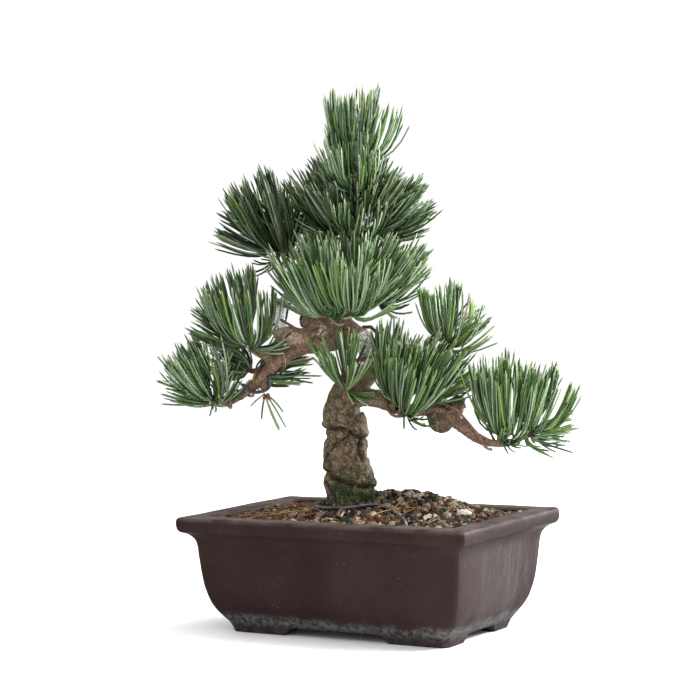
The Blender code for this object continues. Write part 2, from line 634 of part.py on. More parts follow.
low = BRANCHES["left_low"]
route = coil(low, eleven(low, [(4.0, 310), (4.3, 270), (4.9, 180), (5.45, 90), (6.0, 0), (6.6, -90),
                               (7.1, -180), (7.5, -270), (7.95, -360), (8.4, -450), (8.75, -540),
                               (9.05, -630), (9.3, -720), (9.55, -800)]))
route += [Vector((-107.4, -54.0, 175.0)), Vector((-112.4, -57.4, 174.2))]
add_wire("training_wire_left", route, brown_wire)

low = BRANCHES["right_low"]
route = coil(low, eleven(low, [(1.6, -90), (2.4, 0), (3.1, 110), (3.7, 200), (4.6, 280), (5.7, 355),
                               (7.2, 380), (9.0, 412), (9.9, 470), (10.5, 540)]), per_turn=14)
add_wire("training_wire_right", route, brown_wire)

route = coil(TRUNK, eleven(TRUNK, [(14.4, 110), (15.2, 200), (16.1, 300), (17.0, 390), (17.5, 440)]),
             wire=1.5, per_turn=12)
add_wire("training_wire_trunk", route, brown_wire, 1.5)

stub_loop = catmull([Vector(p) for p in (
    (-67.9, -24.7, 243.2), (-61.5, -24.9, 240.4), (-55.1, -25.6, 237.3), (-49.2, -26.6, 234.6),
    (-43.5, -26.2, 231.6), (-38.6, -24.6, 229.8), (-33.8, -21.7, 230.4), (-30.9, -16.6, 233.0),
)], 2)
add_wire("training_wire_stub", stub_loop, brown_wire)

slack = catmull([Vector(p) for p in (
    (-62.0, -13.6, 215.4), (-64.4, -15.4, 208.6), (-64.6, -21.6, 202.0), (-64.2, -29.4, 197.4),
    (-65.6, -36.4, 196.0), (-63.4, -38.2, 193.4), (-63.0, -37.6, 189.6), (-66.0, -38.4, 186.2),
    (-71.0, -39.0, 184.6), (-76.2, -39.2, 185.2), (-80.4, -39.4, 186.2), (-84.6, -38.6, 188.6),
)], 2)
add_wire("training_wire_slack", slack, black_wire, 1.3)

tail = catmull([Vector(p) for p in (
    (-68.8, -25.1, 236.2), (-63.5, -22.9, 235.6), (-59.7, -19.6, 238.2), (-59.2, -17.6, 244.0),
    (-58.8, -14.1, 251.0), (-55.6, -7.6, 257.0),
)], 2)
high = BRANCHES["left_high"]
route = tail + coil(high, eleven(high, [(2.35, 200), (3.8, 980)]), wire=1.3)
add_wire("training_wire_high", route, black_wire, 1.3)

# ------------------------------------------------------------ needle tufts


def seated(base, axis, length):
    """Start of a tuft, slid out along its axis until it clears wood and wire."""
    start = Vector(base)
    for _ in range(60):
        tip = Vector(base) + axis * length
        room = 9.0
        for p, q, radius in CLEAR:
            mine, theirs = closest(start, tip, p, q)
            room = min(room, (theirs - mine).length - radius)
        if room > 0.8:
            break
        start += axis * 0.2
    return start, Vector(base) + axis * length


AXES = []
for name, base, heading, length, half in TUFTS:
    start, tip = seated(base, Vector(heading).normalized(), length)
    AXES.append((name, start, tip, half))

for i, (name, base, tip, half) in enumerate(AXES):
    axis = (tip - base).normalized()
    length = (tip - base).length
    planes = []
    for j, (_, other_base, other_tip, half2) in enumerate(AXES):
        if i == j:
            continue
        mine, theirs = closest(base, tip, other_base, other_tip)
        apart = theirs - mine
        if 0.01 < apart.length < half + half2 + 6.0:
            share = apart.length * half / (half + half2) - 0.3
            planes.append((mine + apart.normalized() * share, apart.normalized()))
    for p, q, radius in CLEAR:
        mine, theirs = closest(base, tip, p, q)
        apart = theirs - mine
        if 0.01 < apart.length < half + radius + 6.0:
            planes.append((theirs - apart.normalized() * (radius + 0.3), apart.normalized()))
    side = Vector((0, 1, 0)).cross(axis).normalized()
    other = axis.cross(side)
    rings = []
    for along, width in TUFT_PROFILE:
        centre = base + axis * (length * along)
        ring = []
        for k in range(TUFT_SIDES):
            a = 2.0 * math.pi * k / TUFT_SIDES
            out = side * math.cos(a) + other * math.sin(a)
            reach = half * width * (1.0 + (0.05 if k % 2 else -0.05))
            for point, normal in planes:
                rate = normal.dot(out)
                if rate > 1e-6:
                    reach = min(reach, (point - centre).dot(normal) / rate)
            ring.append(centre + out * reach)
        rings.append(ring)
    add_part("needles_" + name, loft("needles_" + name, rings), needle)
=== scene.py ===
# Looks for the five-needle pine bonsai: needles, bark, moss, unglazed pot,
# gravel, wires and studio.  Tables are in pot-centred millimetres.
import math

import bmesh
import bpy
import numpy as np
from mathutils import Matrix, Vector


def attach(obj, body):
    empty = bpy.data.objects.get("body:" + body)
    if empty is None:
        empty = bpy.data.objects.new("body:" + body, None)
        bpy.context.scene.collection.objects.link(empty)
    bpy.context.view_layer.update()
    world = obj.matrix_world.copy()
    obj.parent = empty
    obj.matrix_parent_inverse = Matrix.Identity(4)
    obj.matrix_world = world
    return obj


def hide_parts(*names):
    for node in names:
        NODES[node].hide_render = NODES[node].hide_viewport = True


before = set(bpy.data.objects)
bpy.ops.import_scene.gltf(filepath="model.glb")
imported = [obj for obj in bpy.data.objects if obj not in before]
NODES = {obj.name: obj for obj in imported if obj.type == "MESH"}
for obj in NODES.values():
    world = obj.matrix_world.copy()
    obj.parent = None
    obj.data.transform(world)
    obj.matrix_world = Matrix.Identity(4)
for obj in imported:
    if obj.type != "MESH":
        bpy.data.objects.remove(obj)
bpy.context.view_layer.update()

MM = 0.001
CENTRE = np.array((5.946, -1.430, 0.0))
scene = bpy.context.scene
pieces = bpy.data.collections.new("looks")
scene.collection.children.link(pieces)


def row(p):
    """Pot-centred millimetres to the row's metres."""
    return (np.asarray(p, float) - CENTRE) * MM


# ------------------------------------------------------------------- camera
AZ, EL, ROLL, FAR = math.radians(30.23), math.radians(2.663), math.radians(1.22), 1578.5
toward = Vector((math.sin(AZ) * math.cos(EL), -math.cos(AZ) * math.cos(EL), math.sin(EL)))
right = (-toward).cross(Vector((0, 0, 1))).normalized()
up = right.cross(-toward)
cam_x = right * math.cos(ROLL) - up * math.sin(ROLL)
cam_y = right * math.sin(ROLL) + up * math.cos(ROLL)
place = Vector((0, 0, 200.0)) + toward * FAR
camera_data = bpy.data.cameras.new("camera")
camera_data.sensor_width = 36.0
camera_data.lens = 105.84
camera_data.shift_x = -0.0219
camera_data.shift_y = 0.0281
camera_data.clip_end = 60.0
camera = bpy.data.objects.new("camera", camera_data)
camera.matrix_world = Matrix.Translation(Vector(row(place))) @ Matrix((
    (cam_x.x, cam_y.x, toward.x), (cam_x.y, cam_y.y, toward.y), (cam_x.z, cam_y.z, toward.z))).to_4x4()
scene.collection.objects.link(camera)
scene.camera = camera

# ------------------------------------------------------------------- tables
POT_LENGTH, POT_WIDTH, POT_CORNER_R = 249.0, 165.0, 3.6
FLOOR_TOP, FOOT_HEIGHT = 12.5, 6.5
FOOT_GAP_X, FOOT_GAP_Y, FOOT_RECESS = (46.0, 39.5), (26.0, 20.5), (82.0, 40.0)
DRAIN_X, DRAIN_R = 48.0, 12.0
POT_OUTSIDE = [
    (30.6, 0.0), (29.6, 3.0), (27.6, 7.5), (24.0, 12.5), (20.5, 18.0),
    (17.4, 25.5), (14.6, 37.0), (13.0, 49.0), (11.9, 60.0), (11.1, 68.0),
    (9.6, 73.0), (6.2, 76.8), (2.4, 78.6), (0.8, 80.4), (0.0, 84.5),
    (0.3, 88.4), (1.6, 90.0),
]
POT_INSIDE = [
    (16.4, 90.0), (17.6, 89.0), (18.2, 86.5), (19.2, 72.0), (20.4, 55.0),
    (22.2, 38.0), (25.8, 22.0), (32.0, 14.5), (38.0, FLOOR_TOP),
]
SOIL_EDGE_Z = 84.6
SOIL_MOUNDS = [(-16.0, 0.0, 10.0, 38.0), (24.0, 32.0, 13.0, 30.0)]
TRUNK = [
    (-16.5, 1.0, 58.0, 11.0), (-16.5, 0.5, 66.0, 17.0), (-16.3, 0.0, 76.0, 21.5),
    (-16.2, -0.2, 88.0, 20.8), (-16.1, -0.1, 99.0, 19.3), (-15.5, 0.1, 110.7, 18.8),
    (-15.3, 0.2, 120.0, 17.2), (-17.8, -0.5, 128.5, 15.8), (-17.9, -1.4, 139.4, 16.0),
    (-16.6, -1.0, 148.7, 15.2), (-18.3, -1.5, 157.2, 16.5), (-20.3, -3.0, 165.1, 15.6),
    (-18.5, -3.4, 175.9, 13.0), (-14.3, -1.1, 183.6, 11.5), (-7.3, 4.0, 191.0, 10.0),
    (-1.0, 8.9, 200.9, 9.0), (0.1, 8.3, 211.7, 8.4), (-3.1, 4.3, 221.9, 8.0),
    (-10.6, -0.9, 228.8, 7.6), (-17.0, -2.8, 237.0, 6.8), (-19.4, -0.3, 249.8, 6.0),
    (-17.1, 2.5, 265.2, 5.4), (-13.7, 3.6, 282.8, 4.8), (-10.8, 2.5, 299.6, 4.2),
    (-7.2, 1.7, 318.7, 3.6), (-5.4, 1.0, 333.1, 3.0), (-6.0, 1.6, 351.5, 2.6),
    (-4.4, 2.6, 370.0, 2.0),
]
TRUNK_TWIST = 0.052
BRANCHES = {
    "left_low": [
        (-12.2, -1.3, 227.5, 6.4), (-24.0, -5.8, 222.3, 7.4), (-33.7, -10.7, 220.2, 7.0),
        (-43.3, -15.6, 218.6, 6.3), (-54.1, -21.8, 213.6, 5.3), (-64.0, -26.8, 206.2, 4.9),
        (-73.1, -31.6, 195.6, 4.6), (-83.5, -35.7, 186.5, 4.2), (-93.2, -39.6, 180.0, 3.6),
        (-101.0, -42.9, 175.6, 3.1), (-107.0, -44.9, 175.4, 2.5),
    ],
    "right_low": [
        (-13.0, -1.4, 178.2, 8.0), (-0.9, 1.7, 178.9, 7.4), (8.7, 3.5, 176.6, 6.0),
        (18.1, 5.3, 172.8, 5.2), (30.6, 7.8, 168.9, 4.8), (42.6, 11.3, 168.9, 4.8),
        (53.1, 14.3, 168.1, 5.0), (62.7, 17.1, 163.5, 5.2), (73.0, 20.0, 155.8, 4.8),
        (82.5, 22.7, 148.2, 4.2), (90.6, 25.0, 144.2, 3.3), (97.5, 27.0, 143.2, 2.6),
    ],
    "right_tip": [
        (89.0, 24.6, 145.0, 2.6), (99.0, 27.0, 142.6, 2.4), (110.0, 28.6, 144.4, 2.2),
        (122.6, 30.3, 149.4, 1.9),
    ],
    "right_high": [
        (-1.9, 8.7, 202.3, 5.6), (7.7, 18.3, 200.5, 5.0), (17.9, 25.3, 201.7, 4.4),
        (30.0, 31.0, 205.4, 3.8), (40.0, 35.4, 209.6, 3.0), (48.0, 37.8, 212.4, 2.4),
    ],
    "left_high": [
        (-18.8, -0.1, 241.3, 5.0), (-33.2, 2.2, 249.2, 4.6), (-47.0, 0.8, 260.0, 3.9),
        (-58.6, -2.0, 273.0, 3.2), (-67.6, -4.3, 286.6, 2.4),
    ],
    "crown_left": [(-11.5, 2.8, 297.0, 2.8), (-15.5, 4.6, 299.6, 2.4), (-17.6, 5.5, 300.8, 2.0)],
    "crown_right": [(-10.6, 2.6, 299.0, 2.8), (-4.0, 9.0, 303.6, 2.4), (0.8, 13.3, 305.6, 2.0)],
    "crown_front": [(-10.8, 2.4, 297.4, 2.8), (-6.4, -1.4, 299.8, 2.3), (-3.2, -3.4, 300.9, 1.9)],
    "centre_left": [(-17.6, -2.6, 236.0, 4.2), (-20.2, -9.0, 236.8, 3.6), (-21.6, -14.8, 238.6, 2.8)],
    "centre_front": [(-17.4, -2.0, 241.0, 4.0), (-9.6, -9.6, 242.4, 3.4), (-3.6, -15.6, 243.4, 2.6)],
    "centre_right": [(-18.6, 0.6, 248.0, 4.0), (-7.0, 5.2, 249.0, 3.4), (3.6, 8.5, 251.6, 2.6)],
    "centre_back": [(-18.6, 1.0, 252.0, 3.8), (-23.0, 13.0, 252.6, 3.2), (-26.0, 22.2, 254.6, 2.5)],
    "left_mid": [(-64.0, -26.8, 206.2, 4.0), (-71.2, -32.6, 212.0, 3.2), (-78.4, -37.4, 216.2, 2.5)],
    "left_inner": [(-73.1, -31.0, 196.4, 3.4), (-80.0, -26.6, 198.0, 3.0), (-85.8, -22.8, 199.4, 2.4)],
    "left_bud": [(-75.6, -32.4, 193.0, 3.0), (-72.6, -31.6, 187.6, 2.6), (-71.4, -31.2, 185.0, 2.2)],
    "front_low": [(-14.5, -1.0, 181.0, 6.0), (-10.0, -9.6, 180.8, 4.4), (-7.2, -15.6, 181.8, 2.9)],
    "right_inner": [(8.7, 3.8, 177.0, 4.4), (14.4, 6.2, 184.4, 3.2), (16.6, 6.9, 190.4, 2.4)],
    "right_mid": [(28.0, 7.4, 169.6, 4.2), (31.6, 2.6, 166.8, 3.2), (33.0, 0.6, 166.4, 2.4)],
    "right_outer": [(37.0, 9.6, 169.2, 4.2), (38.8, 11.6, 172.2, 3.0), (39.2, 12.2, 173.6, 2.4)],
    "pale_stub": [
        (-41.0, -14.0, 222.4, 5.4), (-47.0, -17.4, 225.6, 6.8), (-55.0, -22.0, 227.2, 7.1),
        (-61.0, -25.0, 228.2, 5.8), (-65.0, -27.0, 228.8, 3.0),
    ],
    "round_stub": [
        (-18.0, -2.6, 234.0, 6.6), (-28.0, -7.4, 235.4, 6.8), (-36.0, -11.6, 237.2, 6.8),
        (-41.2, -15.2, 238.2, 7.2), (-43.2, -17.2, 238.5, 6.2),
    ],
    "lower_knob": [
        (51.0, 12.4, 166.4, 4.8), (55.0, 12.6, 160.8, 7.6), (60.0, 13.4, 158.4, 7.4),
        (65.0, 15.0, 158.0, 4.2),
    ],
    "upper_knob": [
        (63.0, 18.0, 163.6, 4.6), (65.0, 22.0, 168.6, 6.0), (66.6, 24.6, 173.6, 5.8),
        (67.4, 25.8, 178.0, 3.0),
    ],
}
ROOTS = [(18.0, 44.0, 22.0), (92.0, 38.0, 26.0), (163.0, 42.0, 20.0), (234.0, 40.0, 24.0), (302.0, 43.0, 21.0)]
# name, base, heading, length, half width, needles, glaucous share, tone shift
TUFTS = [
    ("upper_left", (-69.3, -4.8, 289.5), (-0.21, -0.28, 0.94), 66, 34, 330, 0.15, -0.30),
    ("crown_left", (-19.8, 6.3, 302.6), (-0.36, -0.28, 0.89), 62, 31, 270, 0.38, -0.20),
    ("crown_right", (2.8, 15.2, 307.4), (0.53, 0.31, 0.79), 50, 30, 250, 0.30, -0.22),
    ("crown_front", (-1.6, -5.4, 302.4), (0.30, -0.44, 0.85), 46, 28, 220, 0.30, -0.16),
    ("apex_low_front", (-2.4, -5.2, 335.5), (0.10, -0.34, 0.93), 52, 26, 200, 0.50, 0.0),
    ("apex_low_back", (-8.4, 8.0, 335.4), (-0.06, 0.36, 0.93), 52, 26, 180, 0.50, -0.05),
    ("apex_top", (-5.3, 2.2, 357.6), (0.10, 0.02, 0.99), 56, 33, 280, 0.45, 0.0),
    ("centre_left", (-22.0, -17.6, 240.6), (-0.24, -0.32, 0.92), 64, 30, 290, 0.50, 0.06),
    ("centre_front", (-1.6, -18.0, 245.0), (0.28, -0.32, 0.91), 64, 31, 290, 0.50, 0.06),
    ("centre_right", (6.4, 9.2, 253.6), (0.50, 0.24, 0.83), 54, 29, 260, 0.45, 0.0),
    ("centre_back", (-26.6, 24.6, 256.6), (-0.23, 0.49, 0.84), 56, 33, 230, 0.50, 0.0),
    ("left_mid", (-80.0, -38.8, 218.4), (-0.06, -0.24, 0.97), 59, 37, 330, 0.42, -0.06),
    ("left_inner", (-87.6, -20.4, 199.9), (0.50, 0.84, 0.20), 46, 20, 120, 0.30, -0.10),
    ("left_under", (-89.4, -24.6, 200.4), (-0.94, 0.20, 0.28), 36, 17, 80, 0.30, -0.10),
    ("left_end", (-109.6, -46.2, 177.0), (-0.35, -0.30, 0.89), 52, 29, 230, 0.40, 0.0),
    ("left_bud", (-71.2, -31.1, 182.2), (0.18, 0.05, -0.98), 30, 9, 0, 0.40, 0.0),
    ("front_low", (-6.4, -18.4, 183.8), (0.14, -0.29, 0.95), 46, 31, 190, 0.40, 0.12),
    ("right_inner", (17.0, 7.0, 193.2), (0.10, 0.03, 0.99), 44, 17, 130, 0.45, 0.0),
    ("right_upper", (50.2, 38.2, 214.6), (-0.03, 0.10, 0.99), 51, 27, 220, 0.35, 0.14),
    ("right_mid", (33.9, -1.8, 168.2), (0.34, -0.14, 0.93), 54, 29, 260, 0.30, 0.0),
    ("right_outer", (40.2, 13.4, 176.4), (0.46, 0.45, 0.77), 50, 27, 220, 0.30, 0.0),
    ("right_tip_a", (99.6, 27.8, 147.6), (0.02, -0.02, 1.00), 62, 25, 240, 0.35, 0.10),
    ("right_tip_b", (125.2, 30.7, 151.7), (0.20, 0.18, 0.96), 52, 26, 250, 0.35, 0.08),
]
# side shoots of the same tufts: tuft, base, heading, length, half width, needles
SIDE_SHOOTS = [
    ("upper_left", (-72.0, -6.0, 292.0), (-0.76, -0.40, 0.36), 54, 22, 120),
    ("upper_left", (-66.0, -3.0, 288.0), (0.30, 0.10, 0.92), 54, 20, 70),
    ("crown_left", (-20.5, 6.6, 303.0), (-0.84, -0.34, 0.36), 52, 20, 100),
    ("crown_left", (-12.0, 3.2, 312.0), (-0.50, -0.50, 0.70), 46, 22, 90),
    ("crown_right", (3.6, 15.6, 307.6), (0.80, 0.46, 0.30), 48, 18, 110),
    ("crown_right", (-4.0, 6.0, 316.0), (0.55, 0.10, 0.80), 48, 24, 90),
    ("apex_low_front", (-5.0, 0.0, 346.0), (0.10, -0.10, 0.99), 50, 25, 100),
    ("centre_left", (-23.0, -17.8, 240.8), (-0.70, -0.40, 0.54), 44, 17, 80),
    ("centre_right", (7.0, 9.6, 253.6), (0.72, 0.40, 0.50), 42, 16, 90),
    ("centre_front", (-2.0, -18.2, 244.4), (0.66, 0.10, 0.52), 50, 20, 80),
    ("centre_front", (-12.0, -18.0, 244.0), (0.02, -0.42, 0.90), 60, 28, 150),
    ("left_mid", (-81.0, -39.0, 218.6), (-0.80, -0.40, 0.42), 50, 19, 100),
    ("left_inner", (-85.0, -24.0, 198.6), (0.78, 0.50, -0.22), 46, 12, 50),
    ("left_under", (-88.0, -25.0, 199.0), (-0.90, -0.30, 0.02), 38, 12, 50),
    ("left_end", (-110.4, -46.6, 177.2), (-0.78, -0.46, 0.20), 38, 14, 70),
    ("left_end", (-108.0, -45.4, 177.0), (0.40, 0.20, 0.85), 38, 16, 60),
    ("right_mid", (24.0, 5.6, 172.0), (0.05, -0.15, 0.98), 48, 21, 110),
    ("right_outer", (41.0, 14.0, 176.6), (0.84, 0.48, 0.28), 44, 16, 80),
    ("right_inner", (20.0, 8.0, 186.0), (0.45, 0.10, 0.88), 44, 18, 90),
    ("right_tip_a", (110.0, 29.0, 147.4), (0.10, -0.10, 0.98), 56, 22, 150),
    ("right_tip_b", (126.0, 31.0, 151.8), (0.84, 0.50, 0.06), 34, 12, 50),
    ("right_tip_b", (123.0, 30.4, 150.0), (0.66, 0.32, -0.46), 36, 9, 34),
    ("right_upper", (50.6, 38.4, 214.8), (0.60, 0.40, 0.50), 40, 15, 50),
]
# lone needles that stand clear of their tuft: start, bend, tip
STRAYS = {
    "left_bud": [
        ((-71.2, -31.0, 182.0), (-66.0, -30.0, 176.0), (-57.2, -24.6, 155.6)),
        ((-71.4, -31.2, 182.0), (-68.5, -31.0, 172.0), (-61.0, -27.5, 155.0)),
        ((-71.0, -31.4, 181.8), (-69.0, -31.5, 171.0), (-60.0, -30.0, 153.6)),
        ((-71.6, -31.0, 182.0), (-74.0, -32.5, 174.0), (-74.4, -33.0, 162.8)),
        ((-71.2, -31.4, 182.2), (-64.5, -29.5, 179.0), (-58.0, -27.0, 168.0)),
        ((-71.8, -31.2, 182.4), (-77.5, -34.0, 178.5), (-82.0, -36.5, 172.8)),
    ],
}
# creases folded into the old trunk: points, depth, width
CREASES = [
    ([(-33.5, -2.0, 154.6), (-31.0, -9.0, 154.8), (-26.5, -14.8, 155.0), (-18.0, -17.0, 155.7),
      (-11.8, -15.5, 155.3), (-7.3, -12.6, 152.9), (-4.7, -9.8, 150.1), (-1.8, -5.6, 147.9)], 3.4, 1.35),
    ([(-1.8, -5.6, 147.9), (-0.6, 2.0, 146.4), (-4.0, 10.0, 147.6), (-12.0, 15.0, 151.0),
      (-22.0, 15.0, 153.6), (-30.0, 9.0, 154.8), (-33.5, -2.0, 154.6)], 2.4, 1.6),
    ([(-2.0, -6.0, 147.9), (-2.6, -7.6, 144.2), (-2.5, -7.1, 140.3), (-2.6, -6.4, 134.9), (-2.3, -4.0, 130.2)], 2.7, 1.3),
    ([(-6.2, -11.6, 152.5), (-9.0, -13.0, 149.8), (-13.5, -14.6, 146.8), (-18.1, -15.9, 144.1),
      (-21.1, -16.9, 140.7), (-24.8, -15.5, 135.8), (-28.6, -13.0, 131.0), (-31.5, -8.0, 127.0)], 1.9, 1.2),
    ([(-32.6, -6.0, 121.8), (-26.1, -14.0, 121.0), (-22.7, -15.2, 118.1), (-16.3, -17.1, 115.8),
      (-10.1, -17.1, 114.1), (-5.2, -15.0, 112.2), (-1.1, -9.9, 110.3), (1.5, -2.3, 109.2), (1.5, 6.9, 108.6)], 3.2, 1.6),
    ([(1.5, 6.9, 108.6), (-5.0, 15.0, 107.0), (-16.0, 19.0, 108.0), (-28.0, 15.0, 112.0),
      (-34.0, 4.0, 117.0), (-32.6, -6.0, 121.8)], 2.4, 1.8),
    ([(-22.2, -16.9, 169.1), (-14.9, -17.3, 167.7), (-9.2, -13.4, 166.7), (-6.1, -9.8, 164.2), (-3.3, -7.1, 161.0)], 1.1, 1.0),
    ([(-27.3, -15.4, 112.6), (-23.6, -17.3, 109.1), (-19.0, -19.1, 104.8), (-16.9, -19.8, 98.0)], 2.2, 1.4),
    ([(-26.0, 12.0, 140.0), (-20.0, 15.0, 132.0), (-10.0, 14.0, 127.0), (-2.0, 8.0, 126.0)], 1.8, 1.3),
    ([(-34.0, 3.0, 146.0), (-31.0, 8.0, 138.0), (-28.0, 11.0, 130.0)], 1.6, 1.3),
]


# ------------------------------------------------------------ noise in numpy
state = np.random.RandomState(11)
PERM = np.tile(state.permutation(256), 3)
GRAD = state.normal(size=(256, 3))
GRAD /= np.linalg.norm(GRAD, axis=1)[:, None]
SPOT = state.rand(256, 3)


def noise(p, seed=0.0):
    """Gradient noise, about -1 to 1, at every row of p."""
    p = np.asarray(p, float) + seed * 19.37
    base = np.floor(p).astype(int)
    f = p - base
    w = f * f * f * (f * (f * 6 - 15) + 10)
    base &= 255
    total = np.zeros(len(p))
    for dx in (0, 1):
        for dy in (0, 1):
            for dz in (0, 1):
                h = PERM[PERM[PERM[(base[:, 0] + dx) & 255] + ((base[:, 1] + dy) & 255)] + ((base[:, 2] + dz) & 255)]
                d = ((f - (dx, dy, dz)) * GRAD[h]).sum(1)
                wx = w[:, 0] if dx else 1 - w[:, 0]
                wy = w[:, 1] if dy else 1 - w[:, 1]
                wz = w[:, 2] if dz else 1 - w[:, 2]
                total += d * wx * wy * wz
    return total * 1.7


def fractal(p, seed=0.0, octaves=3):
    total, size = 0.0, 1.0
    for k in range(octaves):
        total = total + noise(np.asarray(p) * 2.03 ** k, seed + k) * size
        size *= 0.5
    return total


def cells(p, seed=0.0):
    """Nearest and second nearest distance to scattered points, and a number per cell."""
    p = np.asarray(p, float) + seed * 23.11
    base = np.floor(p).astype(int)
    first = np.full(len(p), 9.0)
    second = np.full(len(p), 9.0)
    number = np.zeros(len(p))
    for dx in (-1, 0, 1):
        for dy in (-1, 0, 1):
            for dz in (-1, 0, 1):
                c = base + (dx, dy, dz)
                k = c & 255
                h = PERM[PERM[PERM[k[:, 0]] + k[:, 1]] + k[:, 2]]
                d = np.linalg.norm(c + SPOT[h] - p, axis=1)
                near = d < first
                second = np.where(near, first, np.minimum(second, d))
                number = np.where(near, h / 255.0, number)
                first = np.where(near, d, first)
    return first, second, number


def step(x, lo, hi):
    t = np.clip((x - lo) / (hi - lo), 0.0, 1.0)
    return t * t * (3 - 2 * t)


# ------------------------------------------------------------ mesh helpers
def catmull(points, steps):
    pts = np.array(points, float)
    last = len(pts) - 1
    out = []
    for i in range(last):
        p0, p1, p2, p3 = pts[max(i - 1, 0)], pts[i], pts[i + 1], pts[min(i + 2, last)]
        for s in range(steps):
            t = s / steps
            out.append(0.5 * (2 * p1 + (p2 - p0) * t + (2 * p0 - 5 * p1 + 4 * p2 - p3) * t * t
                              + (3 * p1 - p0 - 3 * p2 + p3) * t ** 3))
    out.append(pts[-1])
    return np.array(out)


def frames(path):
    """Twist-free side vectors along a path."""
    axis = np.gradient(path[:, :3], axis=0)
    axis /= np.linalg.norm(axis, axis=1)[:, None]
    side = np.array((0.0, 1.0, 0.0)) if abs(axis[0][1]) < 0.8 else np.array((1.0, 0.0, 0.0))
    sides = []
    for a in axis:
        side = side - a * side.dot(a)
        side /= np.linalg.norm(side)
        sides.append(side)
    sides = np.array(sides)
    return axis, sides, np.cross(axis, sides)


def tube_arrays(path, sides=16):
    """Round-ended tube through x, y, z, radius rows: vertices and faces."""
    path = np.asarray(path, float)
    axis, u, v = frames(path)
    a = np.linspace(0, 2 * np.pi, sides, endpoint=False)
    r = path[:, 3][:, None, None]
    ring = path[:, None, :3] + r * (np.cos(a)[None, :, None] * u[:, None] + np.sin(a)[None, :, None] * v[:, None])
    n = len(path)
    start = path[0, :3] - axis[0] * path[0, 3] * 0.5
    end = path[-1, :3] + axis[-1] * path[-1, 3] * 0.5
    verts = np.vstack([ring.reshape(-1, 3), start, end])
    faces = []
    for i in range(n - 1):
        for k in range(sides):
            m = (k + 1) % sides
            faces.append((i * sides + k, i * sides + m, (i + 1) * sides + m, (i + 1) * sides + k))
    for k in range(sides):
        m = (k + 1) % sides
        faces.append((n * sides, m, k))
        faces.append((n * sides + 1, (n - 1) * sides + k, (n - 1) * sides + m))
    return verts, faces


def join_arrays(chunks):
    verts, faces, base = [], [], 0
    for v, f in chunks:
        verts.append(np.asarray(v))
        faces += [tuple(i + base for i in face) for face in f]
        base += len(v)
    return np.vstack(verts), faces


def make_object(name, verts, faces, material, smooth=True, in_mm=True):
    mesh = bpy.data.meshes.new(name)
    mesh.from_pydata((row(verts) if in_mm else np.asarray(verts)).tolist(), [], faces)
    mesh.polygons.foreach_set("use_smooth", [smooth] * len(mesh.polygons))
    mesh.update()
    obj = bpy.data.objects.new(name, mesh)
    pieces.objects.link(obj)
    if material:
        mesh.materials.append(material)
    return obj


def outward(mesh):
    bm = bmesh.new()
    bm.from_mesh(mesh)
    bmesh.ops.recalc_face_normals(bm, faces=bm.faces)
    bm.to_mesh(mesh)
    bm.free()


def attribute(mesh, name, values, domain="POINT"):
    layer = mesh.attributes.new(name, "FLOAT", domain)
    layer.data.foreach_set("value", np.asarray(values, dtype=np.float32))


def colours(mesh, name, rgb):
    layer = mesh.attributes.new(name, "FLOAT_COLOR", "POINT")
    flat = np.ones((len(rgb), 4), np.float32)
    flat[:, :3] = rgb
    layer.data.foreach_set("color", flat.ravel())


def applied(obj):
    """The object's mesh with its modifiers in it."""
    graph = bpy.context.evaluated_depsgraph_get()
    graph.update()
    mesh = bpy.data.meshes.new_from_object(obj.evaluated_get(graph))
    obj.modifiers.clear()
    old = obj.data
    obj.data = mesh
    bpy.data.meshes.remove(old)
    return mesh


def points_of(mesh):
    out = np.empty(len(mesh.vertices) * 3)
    mesh.vertices.foreach_get("co", out)
    return out.reshape(-1, 3)


def normals_of(mesh):
    out = np.empty(len(mesh.vertices) * 3)
    mesh.vertices.foreach_get("normal", out)
    return out.reshape(-1, 3)


